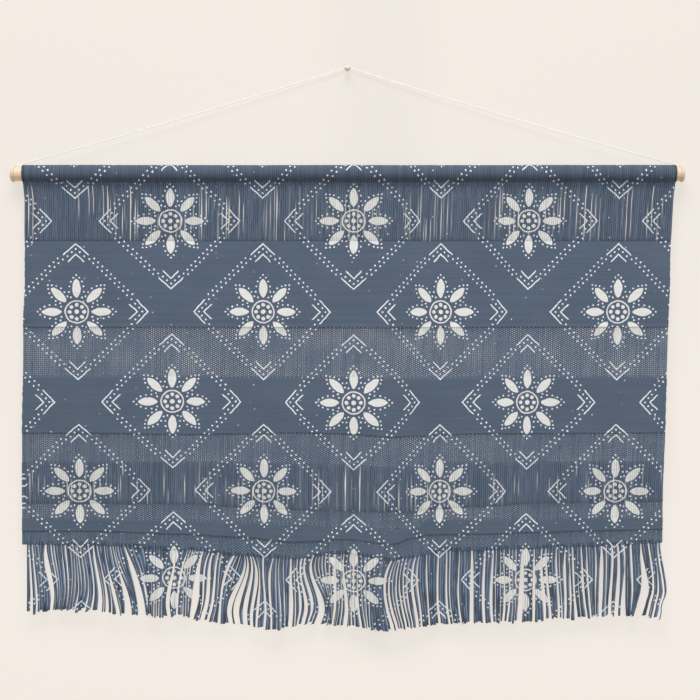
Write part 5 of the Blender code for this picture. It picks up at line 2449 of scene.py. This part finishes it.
SLITS = slits(
    (-293.6, -293.6, -293.5, -293.6, 0, 0, 0, 0),
    (-291.7, -290.4, -289.5, -289.5, 0.7, 1.6, 2.4, 3.1),
    (-288.5, -287.1, -285.2, -285, 0.9, 1.2, 1.8, 2.1),
    (-283, -281.4, -279.8, -279.8, 0.3, 0.5, 0.3, 0.3),
    (-276.6, -274.9, -271.1, -271.4, 2.2, 5.4, 4.5, 3.1),
    (-271.6, -268.8, -265.7, -266.9, 1, 1.1, 0.7, 0.3),
    (-269, -266.3, -263.5, -264.7, 0.8, 0.8, 0.3, 0.2),
    (-262.1, -260.1, -258.8, -260.6, 0.5, 0.7, 0.7, 0.3),
    (-258.6, -256.8, -255.8, -257.9, 1.5, 1.4, 0.9, 0.3),
    (-253.7, -252.3, -252.4, -255.3, 0.3, 0.4, 0.5, 0.5),
    (-251, -249.8, -249.4, -252.7, 0.4, 0.5, 0.5, 0.5),
    (-248.8, -247.4, -246.5, -250.2, 0.5, 0.6, 0.8, 0.6),
    (-247.2, -245, -243.4, -247.1, 0.5, 0.6, 0.6, 0.5),
    (-244.6, -241.8, -240.2, -244.1, 0.5, 0.6, 0.6, 0.5),
    (-241.8, -238.6, -236.8, -240.5, 0.4, 0.5, 0.6, 0.6),
    (-237.2, -234.2, -232.3, -234.4, 1.1, 1.2, 1.4, 2),
    (-232.7, -230.2, -226.9, -227.1, 1.6, 2.5, 3.7, 5),
    (-230.7, -227.7, -223.8, -223.2, 0, 0.2, 0.5, 0.8),
    (-229.1, -225.2, -221.2, -220, 0.8, 0.8, 1.8, 3.3),
    (-225.3, -221.8, -217.3, -215.8, 0, 0, 0.7, 0.8),
    (-222.5, -219.2, -214.3, -209.7, 0.7, 1, 3.8, 4.1),
    (-216.7, -213, -208.8, -205.7, 0.8, 0.7, 0.2, 0),
    (-214.3, -209.5, -203.5, -200.7, 0.7, 1, 5, 7.3),
    (-212.2, -207, -198.8, -196.1, 0.7, 0.8, 0, 0),
    (-209.9, -204.4, -197.1, -193.3, 0.7, 0.7, 0, 0),
    (-203.4, -196.5, -191, -188.2, 1.6, 5, 6.4, 7.5),
    (-195.6, -189.2, -184.6, -182.5, 0, 0.5, 1.8, 0.2),
    (-179.1, -179.1, -179.3, -179.6, 0, 0, 0.5, 0.9),
    (-176.3, -176.3, -176.9, -177.3, 0, 0, 0.5, 0.9),
    (-173.9, -173.9, -174.7, -175.1, 0, 0, 0.5, 0.9),
    (-171.8, -171.8, -172.3, -172.8, 0, 0, 0.5, 0.9),
    (-168.6, -168.8, -169.6, -170.1, 0, 0, 0.3, 0.5),
    (-158.7, -159.8, -163.8, -163.2, 1.1, 2.2, 3.9, 3.9),
    (-146.6, -152.1, -155.1, -156.2, 0.5, 1.8, 1.9, 2),
    (-144.3, -149.1, -150.4, -150.9, 0.5, 0.7, 0.5, 0.7),
    (-142, -146.8, -147.9, -148.5, 0.5, 0.7, 0.5, 0.7),
    (-139.7, -144.5, -145.6, -146.3, 0.5, 0.7, 0.3, 0.7),
    (-132.8, -137.4, -139.2, -143.4, 1.1, 4.5, 7.3, 4.5),
    (-127.3, -131.6, -132.4, -136.5, 1, 1.8, 1.6, 0.7),
    (-124.1, -127, -128.2, -133.3, 1, 2.8, 3.5, 4.5),
    (-118.6, -121.6, -123.2, -128.1, 0.8, 2, 2.2, 2.2),
    (-115.4, -118.1, -119.5, -123.7, 0.7, 0.7, 0.5, 0.7),
    (-104.7, -112.9, -116.2, -117.8, 2.8, 2.5, 1.7, 2.8),
    (-101.7, -109, -112.9, -114.8, 0.8, 0.7, 0.2, 0),
    (-98.5, -104.9, -110.5, -112.2, 0.8, 0.8, 0.2, 0),
    (-94.2, -97.6, -106.3, -106.7, 0.8, 3.1, 5, 4.5),
    (-91.8, -93.6, -100.3, -100.3, 1, 3.6, 6.1, 5.7),
    (-88.5, -88.3, -92.6, -93.4, 1.6, 2.8, 4.8, 4.8),
    (-86.2, -83.4, -86.5, -87.7, 1.1, 3.5, 3, 3.3),
    (-82.4, -80.3, -81.6, -83.3, 0.3, 1.1, 2.8, 2.2),
    (-77, -76.7, -75.1, -76.2, 1.6, 1.8, 2.3, 2.2), (-68.3, -71.4, -70.4, -69.8, 1.2, 2.3, 2, 1.9),
    (-65, -65.5, -64.8, -64.6, 0.7, 0.7, 0.5, 0.5), (-62.4, -62.7, -61.3, -60.9, 0.7, 0.7, 1, 0.5),
    (-58.2, -58.2, -57.5, -57.2, 0.5, 0.7, 1.1, 0.7),
    (-51.6, -51.9, -51.5, -52.5, 1.6, 2.6, 4.3, 3.9),
    (-48.8, -48.4, -47.6, -48.4, 0.2, 0.7, 0.8, 1), (-45.7, -45.4, -43.1, -46, 0.7, 1, 2.2, 2),
    (-42, -42.1, -38.2, -41.1, 1.7, 1.8, 3.5, 3.3),
    (-38.8, -37.9, -32.8, -36.4, 1.6, 2.2, 2.8, 2.4),
    (-32.3, -31.5, -24.5, -27.8, 1.9, 3.3, 5.9, 7.3), (-28.7, -27.2, -19.3, -21.1, 0.8, 0.6, 0, 0),
    (-25.6, -24.1, -17.9, -19.2, 0.7, 0.6, 0, 0), (-22.8, -21.3, -16.6, -17.9, 0.8, 0.5, 0, 0),
    (-19.9, -18.8, -15.5, -16.4, 0.9, 0.5, 0, 0), (-16.9, -15.8, -14.4, -15.1, 0.8, 0.6, 0.6, 0.4),
    (-11.1, -11.5, -11.1, -14, 1.4, 3.1, 2.7, 1.8), (-9.6, -9.6, -9.3, -12.2, 0.5, 0.5, 0.4, 0.5),
    (-8.2, -8.2, -7.5, -10.3, 0, 0, 0.8, 0.8), (-5.3, -5.7, -4.8, -7, 0.3, 0.5, 1, 1.1),
    (-3.2, -3.3, -1.1, -2.4, 0.7, 2.2, 3.6, 4.1), (0.1, -0.2, 1.4, 0.8, 0.4, 0.4, 0.4, 0.5),
    (2.8, 3, 3.2, 3.7, 0.7, 0.5, 0.7, 1.4), (6, 5.6, 6, 7.1, 1.6, 1.4, 0.7, 1.1),
    (9.4, 9.4, 9.6, 12.6, 0.7, 0.5, 2.2, 2.7), (12.9, 12.7, 13.5, 16.8, 0.5, 0.5, 0.8, 1.1),
    (17.2, 16.9, 16.9, 18.6, 0.5, 0.5, 0.8, 1), (20.6, 20.2, 19.9, 20.8, 0.5, 0.5, 0.8, 0.8),
    (39.7, 34.1, 35.9, 41.3, 2.2, 2.4, 2.8, 4.1), (43.5, 37.9, 39.8, 45.5, 0.7, 1.8, 2, 2.2),
    (45.5, 41.1, 43, 48.1, 0.7, 0.7, 0.8, 0.8), (47.7, 44.4, 45.9, 50.9, 1, 1.1, 1.6, 1.4),
    (50.9, 47.5, 49.5, 53.9, 0.8, 0.8, 1.4, 1.7), (53.9, 50.9, 52.6, 57.2, 1, 1.1, 1.8, 1.4),
    (58.2, 54.4, 55.9, 60, 0.5, 1, 1.4, 1), (62.2, 59, 61.1, 64.2, 1.7, 2.7, 3.1, 3.1),
    (65.7, 63.6, 65.7, 67.8, 1, 1.8, 1.9, 1.8), (72.7, 72.7, 73.8, 75.2, 1, 1.4, 1.4, 1.7),
    (83.5, 82.7, 82.7, 84.5, 1.1, 1.8, 2, 2.6), (91.1, 90.7, 90.9, 93.7, 1, 1.6, 2, 2.2),
    (94.3, 93.7, 93.9, 97, 0.8, 0.8, 0.8, 0.7), (102.6, 101.9, 101.7, 104.4, 0.7, 1.2, 1.8, 1.8),
    (114, 114, 113.7, 113.7, 2, 3.1, 3.9, 4.1), (126.2, 124.9, 124.4, 125.4, 1.2, 2.4, 3, 2.6),
    (133.6, 132.3, 131.4, 132.5, 0.8, 2, 2.8, 2.5), (136.2, 135.7, 135.3, 136, 0.7, 0.6, 0.5, 0.5),
    (140.2, 140.2, 140.2, 139.5, 0.5, 0.5, 0.6, 0.6),
    (143.5, 143.5, 143.9, 142.7, 0.7, 0.8, 1.8, 2.4), (148.5, 148.3, 148.5, 146, 0.8, 1, 1.6, 2.2),
    (151.4, 151.4, 151.6, 150.2, 0.5, 0.5, 0.5, 0.5),
    (154.5, 154.3, 154.2, 152.5, 0.5, 0.5, 0.5, 0.6), (160.2, 159.8, 158.9, 157.3, 1.4, 4.1, 5, 5),
    (171, 170.8, 170.6, 170.4, 0.8, 2.2, 3.1, 2.7),
    (178.1, 177.7, 179.7, 180.8, 1.4, 2.6, 3.1, 2.4),
    (181.8, 182.3, 184.1, 185.9, 1.2, 2.2, 2.4, 2.7), (191.4, 191.5, 193, 193.5, 1.1, 1.9, 2, 2.4),
    (194.5, 194.5, 195.9, 196.6, 0.3, 0.7, 0.8, 1.4), (199.5, 199, 199.7, 199.5, 1, 2.8, 2.2, 2.2),
    (203.4, 203.8, 204.5, 204.4, 0.2, 1, 2, 0.8), (206.3, 207, 207.9, 209.7, 1.1, 1.9, 1.6, 3.1),
    (211.1, 211.3, 212.1, 214.1, 0.3, 0.3, 0.7, 0.8),
    (214.4, 215.3, 216.5, 219.5, 0.8, 1.9, 2.6, 2.4),
    (219, 219.8, 221.1, 223.2, 0.8, 1.4, 1.7, 1.4),
    (227.4, 227.8, 227.4, 227.4, 0.8, 1.7, 0.8, 0.7), (232.8, 232.8, 232.1, 231.6, 2, 3.9, 4.3, 3),
    (237.3, 237.5, 236.8, 236.1, 0.7, 0.7, 0.7, 0.7),
    (242.4, 242.6, 241.1, 240.3, 1.9, 2.2, 2.5, 3.1),
    (247.8, 248.6, 247.6, 246.1, 1.9, 2.8, 3.9, 4.1), (253.2, 254.1, 253, 252.4, 1.9, 0.7, 3, 5.4),
    (259.4, 260.4, 260.8, 259.1, 2.1, 2.2, 1.9, 0),
    (268.6, 270.7, 272.3, 265.6, 1.4, 4.1, 8.6, 8.6, -1.1),
    (275.5, 278.7, 279.7, 274, 1.7, 1.7, 1.9, 2.4, -1.2),
    (281.3, 283.5, 284.3, 279, 0.2, 0.3, 1.8, 2.2, -1.1),
    (284.2, 286.7, 289.5, 284.2, 0.8, 1.7, 2, 2.2, -1.9),
    (286.2, 289.6, 292.3, 286.1, 0, 0, 0, 0, -3.9),
)


class Tip(NamedTuple):
    """The level of the yarns' tips at a place across, in mm."""

    x: float
    level: float


TIPS = table(
    Tip,
    (-291.0, -496.5), (-280.1, -497.5), (-263.4, -497.3), (-243.4, -495.6), (-216.0, -499.6),
    (-195.2, -501.5), (-180.6, -500.8), (-168.9, -502.8), (-152.1, -501.5), (-138.5, -506.0),
    (-127.8, -506.2), (-113.3, -508.7), (-95.6, -511.0), (-78.0, -512.8), (-62.0, -514.2),
    (-44.6, -509.6), (-33.5, -508.7), (-19.3, -510.0), (5.0, -511.6), (31.0, -515.0),
    (53.3, -512.8), (74.0, -510.6), (98.2, -508.8), (120.0, -507.6), (144.0, -507.4),
    (164.1, -506.8), (175.8, -506.2), (195.6, -503.4), (219.9, -502.6), (241.4, -501.4),
    (256.3, -501.8), (261.3, -502.0), (276.7, -502.6), (286.1, -505.8),
)


@dataclass
class Fringe:
    """The yarn ends below the hem, packed between the slits, with the cord that binds the hem."""

    pitch: float = 0.00215
    fall: float = 0.068
    narrowest: float = 0.0009
    sides: int = 6
    rings: int = 26
    lap: float = 1.04
    parting: float = 0.10
    depth: float = 0.0013
    taper: float = 0.55
    ragged: float = 1.3
    short: float = 3.0
    depth_step: float = 0.0009
    waviness: float = 0.0004
    roll: float = 0.35
    binding: float = 0.00062
    binding_turn: float = 0.0040
    binding_rings: int = 900
    binding_left: float = -0.2976
    binding_right: float = 0.2876
    binding_depth: float = 0.00072
    binding_height: float = 0.00030

    def hem(self, x: np.ndarray) -> tuple[np.ndarray, np.ndarray]:
        """The y and z of the hem at some places."""
        z = DRAPE.border(len(DRAPE.bands), x)
        return DRAPE.depth(x, z), z

    @staticmethod
    def tip(x: np.ndarray) -> np.ndarray:
        """The level of the yarns' tips at some places."""
        return MM * read_off(TIPS, x / MM)

    def spread(self, fall: np.ndarray) -> tuple[np.ndarray, np.ndarray]:
        """Lays the yarns side by side between the slits.

        Args:
            fall: The rings' levels, from 0 at the hem to 1 at the tips.

        Returns:
            The yarns' x and widths, a row for each.
        """
        x, width = [], []
        number = 0
        for a, b in zip(SLITS, SLITS[1:]):
            left = a.path(fall) + a.open(fall) / 2
            room = b.path(fall) - b.open(fall) / 2 - left
            count = max(1, round(float(room.mean()) / self.pitch))
            spare = np.maximum(self.narrowest * count - room, 0.0)
            left, room = left - spare / 2, room + spare
            order = number + np.arange(count)[:, None]
            share = 1.0 + 0.22 * uneven(order, 2) + 0.16 * wandering(order * 1.7, fall * 3.0, 5.0)
            share = share / share.sum(axis=0)
            middle = np.cumsum(share, axis=0) - share / 2
            x.extend(left + middle * room)
            width.extend(share * room)
            number += count
        return np.array(x), np.array(width)

    def build(self, finish: bpy.types.Material) -> bpy.types.Object:
        """Builds every yarn end.

        Args:
            finish: Their material.

        Returns:
            The fringe.
        """
        fall = np.linspace(-0.04, 1.0, self.rings + 1)
        x, width = self.spread(np.clip(fall, 0, 1))
        count = len(x)
        log.info("fringe: %d yarns", count)
        number = np.arange(count)[:, None]
        short = self.short * (uneven(number, 8) > 0.93)
        ragged = MM * (self.ragged * uneven(number, 5) - 0.5 - short)
        root_y, root_z = self.hem(x)
        free = np.clip(fall, 0, 1)[None, :]
        centre = np.empty((count, self.rings + 1, 3))
        centre[:, :, 0] = x
        centre[:, :, 1] = root_y + self.depth_step * uneven(number, 3) * free**1.2
        centre[:, :, 1] += self.waviness * wandering(number * 0.7, free * 4.0, 8.0)
        centre[:, :, 2] = root_z + (self.tip(x) - root_z) * fall + ragged * free
        part = 0.45 + 0.6 * uneven(number, 7) + 0.6 * wandering(number * 0.9, free * 3.5, 2.0)
        width = width * (self.lap - self.parting * np.clip(part, 0.0, 1.0))
        depth = np.full_like(width, self.depth)
        width[:, -1] *= self.taper
        depth[:, -1] *= self.taper
        centre[:, -2, 2] = centre[:, -1, 2] + 0.0006
        roll = self.roll * uneven(number, 9) * free
        row = StrandRow("fringe_yarns", count, self.sides, self.rings)
        obj = row.lay(centre, width, depth, roll=roll)
        # pick_phase grows down from the hem; the finish darkens the yarns just below it as painted
        # shade.
        note(obj, "pick_phase", free[0, row.ring_numbers()] * self.fall / PICK)
        mark_print(obj)
        smooth(obj, 75)
        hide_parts("fringe")
        return dress(obj, finish)

    def build_binding(self, finish: bpy.types.Material) -> bpy.types.Object:
        """Two fine yarns twisted round each other along the hem.

        Args:
            finish: Its material.

        Returns:
            The binding.
        """
        row = StrandRow("hem_binding", 2, 5, self.binding_rings)
        x = np.linspace(self.binding_left, self.binding_right, row.rings + 1)
        y, z = self.hem(x)
        turn = (x / self.binding_turn * math.tau)[None, :] + np.array([[0.0], [math.pi]])
        y = y + self.binding_depth * np.cos(turn)
        z = z - 0.0001 + self.binding_height * np.sin(turn)
        centre = np.stack((np.broadcast_to(x, turn.shape), y, z), axis=-1)
        thick = np.full(turn.shape, self.binding)
        # With no pick_phase, the rib finish's border darkening, painted shade, falls on the whole
        # binding.
        return dress_cloth(row.lay(centre, thick, thick, level=True), finish, 80)


# Assembly


@dataclass(frozen=True)
class Finishes:
    """Every finish of the hanging."""

    pocket: ClothFinish = ClothFinish(
        "pocket yarn",
        Surface.YARN,
        shade=0.80,
        spread=0.30,
        relief=0.00014,
        edge=0.76,
        painted_border_reach=0.8,
        paste=0.86,
    )
    floats: ClothFinish = ClothFinish(
        "float yarn", Surface.YARN, shade=0.97, spread=0.26, streak=1.3, edge=1.5, paste=0.88
    )
    # Painted light: the lower band's floats use a lighter copy of the float finish, making up for
    # the less light they get.
    lower_floats_painted_lighter: ClothFinish = ClothFinish(
        "lower float yarn", Surface.YARN, shade=1.06, spread=0.26, streak=1.2, edge=1.1, paste=0.90
    )
    ribs: ClothFinish = ClothFinish(
        "rib yarn", Surface.YARN, shade=1.18, spread=0.24, dots=1.3, edge=0.80, painted_border_reach=5.0
    )
    low_ribs: ClothFinish = ClothFinish(
        "lower rib yarn", Surface.YARN, shade=1.08, spread=0.26, dots=1.9, edge=0.87, painted_border_reach=4.0
    )
    picks: ClothFinish = ClothFinish(
        "close weave",
        Surface.PICKS,
        shade=1.04,
        spread=0.30,
        relief=0.00016,
        edge=0.78,
        painted_border_reach=0.7,
    )
    fringe: ClothFinish = ClothFinish(
        "fringe yarn",
        Surface.YARN,
        shade=0.86,
        spread=0.36,
        streak=2.1,
        lean=0.35,
        edge=0.68,
        painted_border_reach=1.4,
        paste=0.96,
    )
    string: StringFinish = StringFinish()
    wood: WoodFinish = WoodFinish()
    pin: PinFinish = PinFinish()


def build_cloth(finishes: Finishes, groups: Groups, dowel: Dowel) -> None:
    """Builds the pocket, the nine bands and the fringe.

    Args:
        finishes: The hanging's finishes.
        groups: The shared node groups.
        dowel: What the cloth hangs on.
    """
    floats = finishes.floats.build(groups)
    lower_floats_painted_lighter = finishes.lower_floats_painted_lighter.build(groups)
    ribs = finishes.ribs.build(groups)
    low_ribs = finishes.low_ribs.build(groups)
    picks = finishes.picks.build(groups)
    pocket_maker = RodPocket()
    pocket_finish = finishes.pocket.build(groups)
    pocket = pocket_maker.build(dowel, pocket_finish)
    loose = [SeamStitches().build(pocket_finish)]
    for index, band in enumerate(DRAPE.bands):
        if band.weave is Weave.FLOAT:
            upper = index == 0
            maker = FloatBand(index, UPPER_GAPS if upper else LOWER_GAPS, 20 if upper else 14)
            loose.append(maker.build(floats if upper else lower_floats_painted_lighter))
        elif band.weave is Weave.OPEN:
            maker = OpenBand(index, OPENINGS[band.name], seed=1.0 + 1.3 * index)
            loose.append(maker.build(ribs if index < 3 else low_ribs))
        else:
            CloseBand(index).build(picks)
    fringe = Fringe()
    yarn = finishes.fringe.build(groups)
    loose.append(fringe.build(yarn))
    loose.append(fringe.build_binding(ribs))
    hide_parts("cloth")


def main() -> None:
    """Builds the studio and every piece, in order."""
    studio = Studio()
    studio.place_camera()
    dowel = Dowel()
    finishes = Finishes()
    HangingString().build(dowel, finishes.string.build())
    studio.build()
    groups = Groups()
    dowel.build(finishes.wood.build(groups))
    WallPin().build(finishes.pin.build())
    build_cloth(finishes, groups, dowel)


if __name__ == "__main__":
    main()
